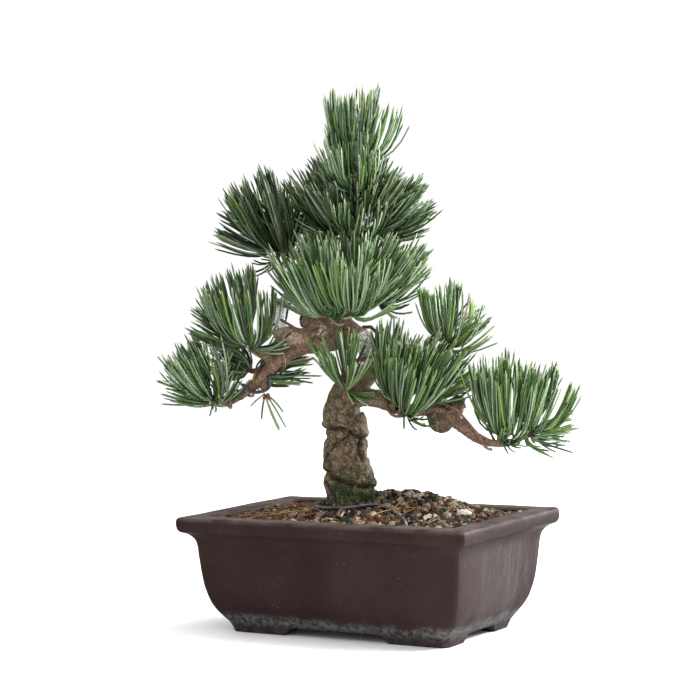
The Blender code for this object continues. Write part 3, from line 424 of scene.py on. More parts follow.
# ------------------------------------------------------------ node helpers
class Shader:
    """Short hand for building a procedural material."""

    def __init__(self, name, rough=0.6, metal=0.0, spec=0.5):
        self.mat = bpy.data.materials.new(name)
        self.mat.use_nodes = True
        self.tree = self.mat.node_tree
        self.out = self.tree.nodes["Principled BSDF"]
        self.out.inputs["Roughness"].default_value = rough
        self.out.inputs["Metallic"].default_value = metal
        self.out.inputs["Specular IOR Level"].default_value = spec
        self.coords = self.tree.nodes.new("ShaderNodeTexCoord").outputs["Object"]

    def link(self, a, b):
        self.tree.links.new(a, b)

    def put(self, socket, value):
        if isinstance(value, bpy.types.NodeSocket):
            self.link(value, socket)
        else:
            socket.default_value = value

    def stretched(self, scale):
        n = self.tree.nodes.new("ShaderNodeMapping")
        n.inputs["Scale"].default_value = scale
        self.link(self.coords, n.inputs["Vector"])
        return n.outputs["Vector"]

    def noise(self, scale, detail=4.0, rough=0.55, vector=None, distortion=0.0):
        n = self.tree.nodes.new("ShaderNodeTexNoise")
        n.inputs["Scale"].default_value = scale
        n.inputs["Detail"].default_value = detail
        n.inputs["Roughness"].default_value = rough
        n.inputs["Distortion"].default_value = distortion
        self.link(vector or self.coords, n.inputs["Vector"])
        return n.outputs["Fac"]

    def cells(self, scale, feature="F1", vector=None, output="Distance"):
        n = self.tree.nodes.new("ShaderNodeTexVoronoi")
        n.feature = feature
        n.inputs["Scale"].default_value = scale
        self.link(vector or self.coords, n.inputs["Vector"])
        return n.outputs[output]

    def ramp(self, value, stops):
        n = self.tree.nodes.new("ShaderNodeValToRGB")
        n.color_ramp.elements[0].position = stops[0][0]
        n.color_ramp.elements[1].position = stops[-1][0]
        for at, _ in stops[1:-1]:
            n.color_ramp.elements.new(at)
        for element, (at, c) in zip(n.color_ramp.elements, stops):
            element.position = at
            element.color = (*c, 1.0) if len(c) == 3 else c
        self.put(n.inputs["Fac"], value)
        return n.outputs["Color"]

    def band(self, value, lo, hi, to_lo=0.0, to_hi=1.0):
        n = self.tree.nodes.new("ShaderNodeMapRange")
        n.interpolation_type = "SMOOTHSTEP"
        self.put(n.inputs["Value"], value)
        for key, v in (("From Min", lo), ("From Max", hi), ("To Min", to_lo), ("To Max", to_hi)):
            n.inputs[key].default_value = v
        return n.outputs["Result"]

    def mix(self, factor, a, b, blend="MIX"):
        n = self.tree.nodes.new("ShaderNodeMix")
        n.data_type = "RGBA"
        n.blend_type = blend
        self.put(n.inputs["Factor"], factor)
        for socket, value in ((n.inputs["A"], a), (n.inputs["B"], b)):
            pass
        sockets = [s for s in n.inputs if s.type == "RGBA"]
        for socket, value in zip(sockets, (a, b)):
            self.put(socket, (*value, 1.0) if isinstance(value, tuple) and len(value) == 3 else value)
        return [s for s in n.outputs if s.type == "RGBA"][0]

    def math(self, kind, a, b=0.0):
        n = self.tree.nodes.new("ShaderNodeMath")
        n.operation = kind
        self.put(n.inputs[0], a)
        self.put(n.inputs[1], b)
        return n.outputs[0]

    def attr(self, name, output="Fac"):
        n = self.tree.nodes.new("ShaderNodeAttribute")
        n.attribute_name = name
        return n.outputs[output]

    def axis(self, which):
        n = self.tree.nodes.new("ShaderNodeSeparateXYZ")
        self.link(self.coords, n.inputs[0])
        return n.outputs[which]

    def colour(self, value):
        self.put(self.out.inputs["Base Color"], value)

    def roughness(self, value):
        self.put(self.out.inputs["Roughness"], value)

    def bump(self, height, distance=0.0004, strength=1.0):
        n = self.tree.nodes.new("ShaderNodeBump")
        n.inputs["Strength"].default_value = strength
        n.inputs["Distance"].default_value = distance
        self.put(n.inputs["Height"], height)
        self.link(n.outputs["Normal"], self.out.inputs["Normal"])


# ---------------------------------------------------------------- materials
def needle_material():
    m = Shader("pine_needle", 0.42, spec=0.28)
    tone = m.ramp(m.attr("n_rand"), [
        (0.0, (0.008, 0.021, 0.004)), (0.30, (0.020, 0.054, 0.009)), (0.60, (0.052, 0.120, 0.019)),
        (0.86, (0.108, 0.200, 0.034)), (0.975, (0.170, 0.250, 0.055)), (1.0, (0.260, 0.200, 0.080))])
    wax = m.math("MULTIPLY", m.attr("n_wax"), m.band(m.noise(900.0, 2.0), 0.3, 0.62, 0.55, 1.0))
    tone = m.mix(wax, tone, (0.430, 0.535, 0.370))
    along = m.attr("n_t")
    tone = m.mix(m.band(along, 0.965, 1.0, 0.0, 0.45), tone, (0.30, 0.30, 0.11))
    tone = m.mix(m.band(along, 0.22, 0.06, 0.0, 0.55), tone, (0.13, 0.17, 0.06))
    tone = m.mix(m.band(along, 0.085, 0.05), tone, (0.215, 0.088, 0.033))
    m.colour(tone)
    m.roughness(m.band(m.noise(700.0, 2.0), 0.3, 0.7, 0.36, 0.52))
    m.bump(m.noise(2600.0, 2.0), 0.00008)
    return m.mat


def bark_material(name="pine_bark"):
    m = Shader(name, 0.85, spec=0.25)
    tone = m.attr("bark_tone", "Color")
    grain = m.noise(780.0, 6.0, 0.72)
    tone = m.mix(m.band(grain, 0.36, 0.60, 0.78, 0.0), tone, (0.24, 0.20, 0.16), "MULTIPLY")
    tone = m.mix(m.band(m.noise(70.0, 4.0, 0.6), 0.34, 0.60, 0.55, 0.0), tone, (0.42, 0.36, 0.30), "MULTIPLY")
    tone = m.mix(m.band(m.noise(260.0, 5.0, 0.75), 0.52, 0.64, 0.0, 0.42), tone, (0.330, 0.270, 0.130))
    fleck = m.band(m.cells(900.0), 0.30, 0.12, 0.0, 0.24)
    tone = m.mix(m.math("MULTIPLY", fleck, m.band(m.noise(160.0, 2.0), 0.45, 0.6)), tone, (0.52, 0.46, 0.33))
    tone = m.mix(m.band(m.noise(240.0, 4.0, 0.7), 0.58, 0.74, 0.0, 0.55), tone, (0.055, 0.045, 0.035))
    m.colour(tone)
    m.roughness(m.band(grain, 0.3, 0.7, 0.92, 0.74))
    m.bump(m.math("ADD", m.noise(520.0, 6.0, 0.7), m.math("MULTIPLY", m.cells(480.0), 0.5)), 0.0007, 0.9)
    return m.mat


def clay_material():
    m = Shader("unglazed_clay", 0.5, spec=0.04)
    z = m.axis("Z")
    tone = m.mix(m.band(m.noise(18.0, 5.0, 0.6), 0.32, 0.68), (0.0195, 0.0103, 0.0098), (0.0290, 0.0158, 0.0147))
    tone = m.mix(m.band(m.noise(7.0, 3.0, 0.6, m.stretched((1.0, 1.0, 0.35))), 0.46, 0.7, 0.0, 0.10), tone, (0.070, 0.052, 0.050))
    grain = m.noise(1500.0, 3.0, 0.7)
    tone = m.mix(m.band(grain, 0.38, 0.6, 0.35, 0.0), tone, (0.012, 0.008, 0.007))
    # mineral bloom low on the walls
    bloom = m.math("MULTIPLY", m.band(m.math("ADD", z, m.math("MULTIPLY", m.noise(40.0, 6.0, 0.7), 0.018)), 0.0265, 0.0190),
                   m.math("MULTIPLY", m.band(m.noise(260.0, 6.0, 0.8), 0.38, 0.60), m.band(z, 0.0045, 0.0105, 0.25, 1.0)))
    tone = m.mix(m.math("MULTIPLY", bloom, 0.38), tone, (0.255, 0.275, 0.285))
    # painted sheen: a whitish haze on the right end wall stands in for the light's sheen there
    east = m.math("MULTIPLY", m.math("MULTIPLY", m.band(m.axis("X"), 0.0955, 0.1020), m.band(z, 0.078, 0.066)),
                  m.band(m.axis("Y"), -0.0640, -0.0100, 0.0, 1.0))
    painted_sheen = m.math("ADD", m.band(m.noise(15.0, 5.0, 0.65, m.stretched((1.0, 1.0, 0.45))), 0.36, 0.66, 0.0, 0.09),
                   m.band(m.noise(60.0, 5.0, 0.7, m.stretched((1.0, 1.6, 0.25))), 0.52, 0.68, 0.0, 0.10))
    tone = m.mix(m.math("MULTIPLY", east, painted_sheen), tone, (0.200, 0.185, 0.190))
    streak = m.math("MULTIPLY", m.band(z, 0.074, 0.020, 0.0, 1.0),
                    m.band(m.noise(46.0, 5.0, 0.7, m.stretched((1.0, 1.0, 0.22))), 0.57, 0.72, 0.0, 0.05))
    tone = m.mix(streak, tone, (0.20, 0.195, 0.19))
    # painted highlight: the top of the lip is drawn lighter, standing in for the top light falling on it
    edge = m.math("MULTIPLY", m.band(z, 0.0862, 0.0898), m.band(m.noise(60.0, 5.0, 0.65), 0.34, 0.62, 0.08, 0.40))
    tone = m.mix(edge, tone, (0.135, 0.105, 0.088))
    speck = m.math("MULTIPLY", m.band(m.cells(330.0), 0.105, 0.05), m.band(m.noise(52.0, 3.0), 0.56, 0.66, 0.0, 0.75))
    tone = m.mix(speck, tone, (0.42, 0.40, 0.38))
    m.colour(tone)
    m.roughness(m.math("ADD", m.band(m.noise(40.0, 4.0), 0.3, 0.7, 0.42, 0.60), m.math("MULTIPLY", bloom, 0.3)))
    m.bump(m.math("ADD", m.math("MULTIPLY", grain, 0.45), m.noise(210.0, 4.0, 0.6)), 0.00042, 0.75)
    return m.mat


def soil_material():
    m = Shader("soil_fines", 0.95, spec=0.2)
    tone = m.ramp(m.noise(420.0, 6.0, 0.7), [(0.3, (0.010, 0.007, 0.005)), (0.52, (0.030, 0.019, 0.012)), (0.75, (0.09, 0.058, 0.034))])
    m.colour(tone)
    m.bump(m.noise(500.0, 6.0, 0.75), 0.0012)
    return m.mat


def gravel_material():
    m = Shader("gravel_grain", 0.9, spec=0.3)
    tone = m.ramp(m.attr("g_rand"), [
        (0.0, (0.010, 0.008, 0.006)), (0.28, (0.018, 0.012, 0.009)), (0.38, (0.095, 0.036, 0.013)),
        (0.52, (0.150, 0.072, 0.030)), (0.64, (0.175, 0.120, 0.075)), (0.78, (0.240, 0.184, 0.125)),
        (0.92, (0.360, 0.305, 0.232)), (1.0, (0.520, 0.475, 0.405))])
    tone = m.mix(m.band(m.noise(520.0, 5.0, 0.7), 0.36, 0.62, 0.62, 0.0), tone, (0.36, 0.26, 0.18), "MULTIPLY")
    tone = m.mix(m.attr("g_dark"), tone, (0.018, 0.020, 0.011))
    m.colour(tone)
    m.bump(m.noise(900.0, 5.0, 0.7), 0.0006)
    return m.mat


def moss_material():
    m = Shader("moss", 0.9, spec=0.2)
    tone = m.ramp(m.attr("n_rand"), [(0.0, (0.014, 0.036, 0.010)), (0.55, (0.040, 0.094, 0.020)), (1.0, (0.165, 0.215, 0.035))])
    m.colour(tone)
    m.bump(m.noise(1500.0, 2.0), 0.0002)
    return m.mat


def wire_material(name, dark, light, metal, rough):
    m = Shader(name, rough, metal, 0.5)
    tone = m.mix(m.band(m.noise(130.0, 5.0, 0.7), 0.40, 0.66), dark, light)
    tone = m.mix(m.band(m.noise(700.0, 3.0, 0.7), 0.56, 0.72, 0.0, 0.6), tone, tuple(c * 0.4 for c in dark))
    m.colour(tone)
    m.roughness(m.band(m.noise(300.0, 4.0), 0.3, 0.7, rough - 0.08, rough + 0.12))
    m.bump(m.noise(900.0, 3.0, 0.6), 0.00018)
    return m.mat


def stone_material():
    m = Shader("pale_pebble", 0.7, spec=0.35)
    tone = m.ramp(m.noise(180.0, 5.0, 0.65), [(0.3, (0.42, 0.37, 0.29)), (0.55, (0.62, 0.57, 0.47)), (0.8, (0.74, 0.71, 0.64))])
    tone = m.mix(m.band(m.cells(1100.0), 0.2, 0.1, 0.0, 0.5), tone, (0.16, 0.13, 0.10))
    m.colour(tone)
    m.bump(m.noise(500.0, 5.0, 0.6), 0.0004)
    return m.mat


NEEDLE, BARK, CLAY = needle_material(), bark_material(), clay_material()
SOIL, GRAVEL, MOSS, STONE = soil_material(), gravel_material(), moss_material(), stone_material()
BROWN = wire_material("brown_wire_finish", (0.105, 0.052, 0.032), (0.255, 0.135, 0.075), 0.35, 0.42)
BLACK = wire_material("black_wire_finish", (0.012, 0.012, 0.014), (0.045, 0.045, 0.050), 0.35, 0.38)
GREY = wire_material("grey_wire_finish", (0.060, 0.060, 0.064), (0.150, 0.150, 0.155), 0.5, 0.45)
PLASTIC = wire_material("mesh_plastic_finish", (0.010, 0.010, 0.011), (0.030, 0.030, 0.032), 0.0, 0.5)
STEEL = wire_material("clip_steel_finish", (0.34, 0.34, 0.35), (0.58, 0.58, 0.59), 1.0, 0.34)


# ------------------------------------------------------------------ needles
def blades(name, curves, radius, rand, wax, material, rows=8, taper=0.14, spin=None):
    """Three-sided blades along quadratic curves, as one mesh."""
    curves = np.asarray(curves, float)
    n = len(curves)
    radius = np.broadcast_to(np.asarray(radius, float), (n,))
    t = np.linspace(0.0, 1.0, rows) if rows < 6 else np.concatenate([[0.0, 0.07], np.linspace(0.22, 0.955, rows - 3), [1.0]])
    a, b, c = curves[:, 0][:, None], curves[:, 1][:, None], curves[:, 2][:, None]
    tt = t[None, :, None]
    mid = (1 - tt) ** 2 * a + 2 * tt * (1 - tt) * b + tt ** 2 * c
    tan = 2 * (1 - tt) * (b - a) + 2 * tt * (c - b)
    tan /= np.linalg.norm(tan, axis=2)[:, :, None] + 1e-9
    lead = np.cross(c - a, b - a)
    lead /= np.linalg.norm(lead, axis=2)[:, :, None] + 1e-9
    u = lead - tan * (lead * tan).sum(2)[:, :, None]
    u /= np.linalg.norm(u, axis=2)[:, :, None] + 1e-9
    v = np.cross(tan, u)
    if spin is not None:
        cs, sn = np.cos(spin)[:, None, None], np.sin(spin)[:, None, None]
        u, v = u * cs + v * sn, v * cs - u * sn
    shape = np.interp(t, (0.0, 0.06, 0.10, 0.5, 1 - taper, 1.0), (0.95, 1.05, 0.82, 1.0, 0.92, 0.16))
    ring = []
    for k in range(3):
        ang = math.pi / 2 + 2 * math.pi * k / 3
        ring.append(mid + (u * math.cos(ang) + v * math.sin(ang)) * (shape[None, :, None] * radius[:, None, None]))
    verts = np.stack(ring, 2).reshape(n, rows * 3, 3)
    faces, side, index = [], [], []
    pattern = []
    for i in range(rows - 1):
        for k in range(3):
            m = (k + 1) % 3
            pattern.append(((i * 3 + k, i * 3 + m, (i + 1) * 3 + m, (i + 1) * 3 + k), k))
    pattern.append(((2, 1, 0), 1))
    last = (rows - 1) * 3
    pattern.append(((last, last + 1, last + 2), 1))
    for j in range(n):
        base = j * rows * 3
        for f, k in pattern:
            faces.append(tuple(base + q for q in f))
            side.append(k)
            index.append(j)
    obj = make_object(name, verts.reshape(-1, 3), faces, material)
    mesh = obj.data
    along = np.tile(np.repeat(t, 3), n)
    attribute(mesh, "n_rand", np.repeat(rand, rows * 3))
    attribute(mesh, "n_t", along)
    side, index = np.array(side), np.array(index)
    attribute(mesh, "n_wax", np.array((1.0, 0.06, 0.62))[side] * np.asarray(wax)[index], "FACE")
    layer = mesh.uv_layers.new(name="OFBake")
    loops = np.empty(len(mesh.loops), dtype=np.int32)
    mesh.loops.foreach_get("vertex_index", loops)
    counts = np.array([len(f) for f in faces])
    face_of = np.repeat(np.arange(len(faces)), counts)
    corner = loops % 3
    wide = np.where(corner == side[face_of], 0.2, 0.8)
    uv = np.stack([(index[face_of] + (side[face_of] + wide) / 3.0) / n, 0.01 + 0.98 * along[loops]], 1)
    layer.data.foreach_set("uv", uv.astype(np.float32).ravel())
    return obj


def unit(v):
    v = np.asarray(v, float)
    return v / np.linalg.norm(v)


def tuft_curves(rng, base, heading, length, half, count, fan=0.12):
    """Needles in bundles that leave a shoot sideways and bend up into a cup."""
    base, axis = np.array(base, float), unit(heading)
    a = unit(np.cross((0.0, 1.0, 0.0), axis))
    b = np.cross(axis, a)
    lean = np.array((0.0, 0.0, 0.14 * length * (1.15 - axis[2])))
    out, bundle = [], []
    number = 0
    while len(out) < count:
        t = (number * 0.61803) % 1.0
        phi = number * 2.39996 + rng.normal(0, 0.3)
        number += 1
        open_to = half * (1.0 - t) ** 0.55 * rng.uniform(0.82, 1.04) + 1.5
        rise = length * (0.74 + 0.26 * t ** 0.6)
        droop = t < 0.20 and rng.rand() < 0.24
        start = base + axis * (0.25 * length * t + 0.4)
        for k in range(rng.randint(4, 6)):
            ang = phi + rng.normal(0, 0.17)
            side = a * math.cos(ang) + b * math.sin(ang)
            r = open_to * rng.uniform(0.90, 1.08)
            h = rise * rng.uniform(0.84, 1.04)
            if rng.rand() < 0.08:
                h *= rng.uniform(0.6, 0.85)
            p0 = start + side * 1.2 + rng.normal(0, 0.3, 3)
            p1 = base + side * r * rng.uniform(0.78, 0.98) + axis * length * (0.52 * t - rng.uniform(0.00, 0.10)) + rng.normal(0, 1.5, 3)
            p2 = base + side * r + axis * h + lean + rng.normal(0, 3.0, 3)
            if droop:
                r = half * rng.uniform(0.80, 1.04)
                p1 = base + side * r * 0.62 - axis * length * rng.uniform(0.10, 0.17)
                p2 = base + side * r + axis * length * rng.uniform(-0.12, 0.22) + lean * 0.5 + rng.normal(0, 1.6, 3)
            p1 = p1 * (1 - fan) + (p0 + p2) * 0.5 * fan
            out.append((p0, p1, p2))
            bundle.append(number)
    return np.array(out), np.array(bundle)


shoot_parts = []
for order, (name, base, heading, length, half, count, waxy, shift) in enumerate(TUFTS):
    rng = np.random.RandomState(100 + order)
    curves = np.zeros((0, 3, 3))
    bundle = np.zeros(0, int)
    if count:
        curves, bundle = tuft_curves(rng, base, heading, length, half, int(count * 0.64), 0.80 if name == "front_low" else 0.12)
    for which, base2, heading2, length2, half2, count2 in SIDE_SHOOTS:
        if which == name:
            more, more_of = tuft_curves(rng, base2, heading2, length2, half2, int(count2 * 0.55))
            curves = np.vstack([curves, more])
            bundle = np.concatenate([bundle, more_of + bundle.max() + 1])
    if name in STRAYS:
        extra = np.array(STRAYS[name])
        curves = np.vstack([curves, extra])
        bundle = np.concatenate([bundle, 1500 + np.arange(len(extra))])
    n = len(curves)
    tone = np.clip(0.42 + shift + 0.24 * rng.normal(size=n) + 0.14 * rng.normal(size=2000)[bundle], 0.0, 0.97)
    tone[rng.rand(n) < 0.012] = 1.0
    wax = np.clip(waxy - 0.02 + 0.36 * rng.normal(size=n), 0.0, 1.0)
    obj = blades("needles_" + name, curves, rng.uniform(0.76, 1.0, n), tone, wax, NEEDLE, taper=0.05,
                 spin=rng.uniform(0, 2 * math.pi, n))
    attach(obj, "root")
    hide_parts("needles_" + name)
    # the shoot that the needles stand on, with overlapping bud scales
    axis = unit(heading)
    reach = 0.36 * length
    path = [(*(np.array(base) - axis * 3.0), 2.0), (*np.array(base), 1.9),
            (*(np.array(base) + axis * reach * 0.5 + rng.normal(0, 0.5, 3)), 1.6),
            (*(np.array(base) + axis * reach), 1.1)]
    if name != "left_bud":
        shoot_parts.append((tube_arrays(catmull(path, 4), 9), 0.35))
    side_a = unit(np.cross((0.0, 1.0, 0.0), axis))
    side_b = np.cross(axis, side_a)
    for k in range(26 if name != "left_bud" else 12):
        f = (k / 26.0) * 0.8
        ang = k * 2.4
        out = side_a * math.cos(ang) + side_b * math.sin(ang)
        foot = np.array(base) + axis * (reach * f - 1.0) + out * 1.2
        size = rng.uniform(2.2, 4.2)
        tip = foot + axis * size * 0.8 + out * size * rng.uniform(0.35, 0.75)
        mid = (foot + tip) / 2 + out * 0.5
        scale_path = np.array([(*foot, 0.55), (*mid, 0.8), (*tip, 0.12)])
        shoot_parts.append((tube_arrays(scale_path, 5), rng.uniform(0.55, 1.0)))

verts, faces, tone = [], [], []
total = 0
for (v, f), shade in shoot_parts:
    verts.append(v)
    faces += [tuple(i + total for i in face) for face in f]
    tone += [shade] * len(v)
    total += len(v)
m = Shader("shoot_and_bud_scales", 0.75, spec=0.3)
m.colour(m.mix(m.band(m.noise(800.0, 4.0, 0.7), 0.35, 0.6, 0.55, 0.0),
               m.ramp(m.attr("b_rand"), [(0.0, (0.10, 0.055, 0.030)), (0.4, (0.14, 0.066, 0.034)), (0.7, (0.26, 0.11, 0.042)), (1.0, (0.40, 0.20, 0.085))]),
               (0.35, 0.25, 0.2), "MULTIPLY"))
m.bump(m.noise(1200.0, 4.0, 0.7), 0.0004)
SCALES = m.mat
shoots = make_object("shoots_and_bud_scales", np.vstack(verts), faces, SCALES)
outward(shoots.data)
attribute(shoots.data, "b_rand", tone)
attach(shoots, "root")


# ------------------------------------------------------- trunk and branches
def trunk_mesh():
    path = catmull(TRUNK, 5)
    axis, _, _ = frames(path)
    sides = 44
    a = np.linspace(0, 2 * np.pi, sides, endpoint=False)
    rings = []
    for (x, y, z, r), ax in zip(path, axis):
        side = unit(np.cross((0.0, 1.0, 0.0), ax))
        other = np.cross(ax, side)
        depth = min(1.0, max(0.0, (215.0 - z) / 60.0))
        turn = TRUNK_TWIST * z
        lump = depth * (0.065 * np.sin(2 * a + turn) + 0.045 * np.sin(3 * a - 1.6 * turn + 0.8) + 0.02 * np.sin(5 * a + 2.3 * turn))
        reach = r * (1 + lump)
        rings.append(np.array((x, y, z)) + side * (reach * np.cos(a))[:, None] + other * (reach * np.sin(a))[:, None])
    v = np.vstack(rings + [path[:1, :3], path[-1:, :3] + axis[-1:] * 1.0])
    n = len(rings)
    f = []
    for i in range(n - 1):
        for k in range(sides):
            q = (k + 1) % sides
            f.append((i * sides + k, i * sides + q, (i + 1) * sides + q, (i + 1) * sides + k))
    for k in range(sides):
        q = (k + 1) % sides
        f.append((n * sides, q, k))
        f.append((n * sides + 1, (n - 1) * sides + k, (n - 1) * sides + q))
    return v, f


wood = [trunk_mesh()]
for heading, reach, drop in ROOTS:
    ang = math.radians(heading)
    pts = []
    for t, r in ((0.0, 8.5), (0.35, 7.0), (0.6, 5.2), (0.8, 3.8), (1.0, 2.4)):
        bend = ang + 0.35 * math.sin(2.6 * t)
        pts.append((-16.4 + reach * t * math.cos(bend), reach * 0.9 * t * math.sin(bend), 74.0 - drop * t * t - 4.0 * t, r))
    wood.append(tube_arrays(catmull(pts, 4), 14))
for points in BRANCHES.values():
    wood.append(tube_arrays(catmull(points, 5), 20))
wood.append(tube_arrays(catmull([(-17.0, -3.5, 230.0, 4.0), (-24.0, -6.8, 228.8, 4.4), (-31.0, -10.4, 228.4, 4.2), (-38.0, -13.4, 228.0, 3.0)], 4), 14))
wv, wf = join_arrays(wood)
trunk = make_object("trunk_bark", wv, wf, BARK)
outward(trunk.data)
mod = trunk.modifiers.new("one_skin", "REMESH")
mod.mode = "VOXEL"
mod.voxel_size = 0.00078
mod.use_smooth_shade = True
mod = trunk.modifiers.new("ease", "SMOOTH")
mod.factor = 0.5
mod.iterations = 5
mesh = applied(trunk)

pos = points_of(mesh) / MM + CENTRE
nor = normals_of(mesh)
# nearest centre line for every point
segs, kind = [], []
zone_names = ["trunk"] + list(BRANCHES) + ["root"]
lines = [catmull(TRUNK, 3)] + [catmull(p, 3) for p in BRANCHES.values()]
for z, line in enumerate(lines):
    lengths = np.concatenate([[0], np.cumsum(np.linalg.norm(np.diff(line[:, :3], axis=0), axis=1))])
    for i in range(len(line) - 1):
        segs.append((*line[i], *line[i + 1], lengths[i], lengths[i + 1], z))
segs = np.array(segs)
A, B = segs[:, 0:3], segs[:, 4:7]
ra, rb = segs[:, 3], segs[:, 7]
zone = np.zeros(len(pos), int)
local_r = np.zeros(len(pos))
along = np.zeros(len(pos))
foot = np.zeros((len(pos), 3))
AB = B - A
L2 = (AB * AB).sum(1)
for s in range(0, len(pos), 3000):
    p = pos[s:s + 3000]
    ap = p[:, None] - A[None]
    t = np.clip((ap * AB[None]).sum(2) / L2[None], 0, 1)
    c = A[None] + AB[None] * t[:, :, None]
    r = ra[None] + (rb - ra)[None] * t
    d = np.linalg.norm(p[:, None] - c, axis=2) - r
    best = np.abs(d).argmin(1)
    rows = np.arange(len(p))
    zone[s:s + 3000] = segs[best, 10]
    local_r[s:s + 3000] = r[rows, best]
    along[s:s + 3000] = segs[best, 8] + (segs[best, 9] - segs[best, 8]) * t[rows, best]
    foot[s:s + 3000] = c[rows, best]
out = pos - foot
ang_dir = out / (np.linalg.norm(out, axis=1)[:, None] + 1e-9)
zone_of = {n: i for i, n in enumerate(zone_names)}
is_pale = zone == zone_of["pale_stub"]
is_round = zone == zone_of["round_stub"]
old = step(local_r, 6.0, 13.0)
flow = out + np.array((0.0, 0.0, 1.0)) * (along * 0.62)[:, None]
twist = flow + np.stack([noise(pos / 21.0, 3), noise(pos / 21.0, 4), noise(pos / 21.0, 5)], 1) * 4.0

d1, d2, cell = cells(twist / np.array((6.4, 6.4, 6.4)), 1)
plate = step(d2 - d1, 0.02, 0.22)
e1, e2, knob_id = cells((out * 1.0 + np.array((0, 0, 1.0)) * (along * 0.9)[:, None]) / 3.1, 2)
knob = step(e2 - e1, 0.0, 0.30)
lift = np.zeros(len(pos))
lift += old * (fractal(pos / 17.0, 1, 2) * 1.15 + fractal(twist / 5.2, 6, 3) * 0.42)
lift += old * (plate - 1.0) * 0.42 * step(noise(pos / 14.0, 8), -0.5, 0.4)
lift += old * (cell - 0.5) * 0.35
lift += (1 - old) * (knob - 0.6) * 0.55 * np.clip(local_r / 4.0, 0.4, 1.0) * np.where(is_pale, 0.15, 1.0)
lift += (1 - old) * fractal(pos / 5.0, 9, 3) * 0.30 * np.clip(local_r / 4.0, 0.3, 1.0) * np.where(is_pale, 0.5, 1.0)
lift += noise(pos / 1.5, 12) * 0.10
dent = np.zeros(len(pos))
for points, depth, width in CREASES:
    line = catmull(points, 6)
    near = np.full(len(pos), 99.0)
    above = np.zeros(len(pos))
    for p, q in zip(line, line[1:]):
        d = q - p
        t = np.clip(((pos - p) @ d) / (d @ d), 0, 1)
        c = p + t[:, None] * d
        gap = np.linalg.norm(pos - c, axis=1)
        better = gap < near
        near = np.where(better, gap, near)
        above = np.where(better, pos[:, 2] - c[:, 2], above)
    lift -= depth * np.exp(-(near / width) ** 2)
    lift += 0.28 * depth * np.exp(-((near - 2.9 * width) / (1.5 * width)) ** 2) * np.where(above > 0, 1.25, 0.6)
    dent = np.maximum(dent, np.exp(-(near / (width * 0.95)) ** 2) * min(1.0, depth / 2.2))

east = ang_dir @ unit((0.90, -0.44, 0.0))
moss = step(pos[:, 2], 130.0, 108.0) * step(east, -0.15, 0.45) * (zone == 0)
moss *= step(fractal(pos / 7.0, 21, 3), -0.55, 0.05)
moss = np.maximum(moss, 0.8 * step(pos[:, 2], 99.0, 90.0) * (zone == 0) * step(fractal(pos / 6.0, 22, 2), -0.1, 0.5))
moss = np.maximum(moss, 0.75 * (zone == zone_of["upper_knob"]) * step(fractal(pos / 5.0, 23, 3), -0.5, 0.2))
moss *= 1 - dent * 0.9
lift += moss * (0.5 + 0.45 * noise(pos / 1.3, 31))
lime = step(np.linalg.norm((pos - (2.0, 1.0, 216.0)) / (13.5, 13.5, 15.5), axis=1), 1.0, 0.80) * step(fractal(pos / 3.0, 41, 3), -0.75, -0.2)
lime = np.maximum(lime, 0.8 * step(np.linalg.norm(pos - (-31.0, -13.0, 231.0), axis=1), 6.5, 3.5) * step(fractal(pos / 2.2, 42, 2), -0.2, 0.3))
new = pos + nor * lift[:, None]
mesh.vertices.foreach_set("co", row(new).ravel())
mesh.update()

grey = np.array((0.185, 0.138, 0.082))
olive = np.array((0.160, 0.128, 0.058))
pink = np.array((0.250, 0.150, 0.112))
dark = np.array((0.070, 0.050, 0.036))
pale = np.array((0.250, 0.212, 0.150))


def mixed(base, colour, amount):
    return base * (1 - amount[:, None]) + np.asarray(colour) * amount[:, None]


tone = np.tile(grey, (len(pos), 1))
tone = mixed(tone, olive, step(fractal(pos / 12.0, 51, 3), -0.2, 0.5) * 0.85)
tone = mixed(tone, pink, step(fractal(pos / 8.0, 52, 3), 0.05, 0.6) * 0.75)
tone = mixed(tone, pale, step(fractal(pos / 2.6, 53, 3), 0.15, 0.65) * 0.65)
tone = mixed(tone, dark * 0.75, step(fractal(pos / 3.4, 54, 3), 0.05, 0.55) * 0.72)
twig = (1 - old) * (1 - is_pale)
tone = mixed(tone, np.array((0.310, 0.190, 0.140)), twig * 0.80)
tone = mixed(tone, np.array((0.400, 0.275, 0.210)), twig * step(fractal(pos / 2.2, 55, 3), 0.0, 0.6) * 0.55)
tone = mixed(tone, np.array((0.050, 0.032, 0.025)), twig * (1 - knob) * 0.42)
tone = mixed(tone, dark * 0.5, old * (1 - plate) * 0.75)
tone = mixed(tone, np.array((0.560, 0.400, 0.300)), is_pale * 0.95)
tone = mixed(tone, np.array((0.100, 0.062, 0.042)), is_pale * step(fractal(pos / 1.6, 57, 2), 0.38, 0.62))
tone = mixed(tone, np.array((0.260, 0.170, 0.135)), is_round * step(pos[:, 0], -39.0, -42.0) * 0.7)
tone = mixed(tone, np.array((0.120, 0.085, 0.060)), (zone == zone_of["lower_knob"]) * 0.8)
tone = mixed(tone, np.array((0.026, 0.024, 0.013)), step(pos[:, 2], 116.0, 98.0) * (zone == 0) * 0.85)
tone = mixed(tone, np.array((0.016, 0.034, 0.009)), np.clip(moss, 0, 1) * 0.92)
tone = mixed(tone, np.array((0.150, 0.190, 0.040)), np.clip(moss, 0, 1) * step(noise(pos / 1.6, 61), 0.25, 0.7) * 0.7)
tone = mixed(tone, np.array((1.0, 1.0, 1.0)), lime * 0.98)
tone = mixed(tone, np.array((0.060, 0.048, 0.038)), lime * step(fractal(pos / 1.1, 62, 2), 0.34, 0.52) * 0.9)
# painted shade: the creases are drawn nearly black, standing in for the shade deep in the folds
tone = mixed(tone, np.array((0.014, 0.009, 0.006)), dent ** 0.7 * 0.93)
colours(mesh, "bark_tone", tone)
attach(trunk, "root")
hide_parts("trunk_and_branches")

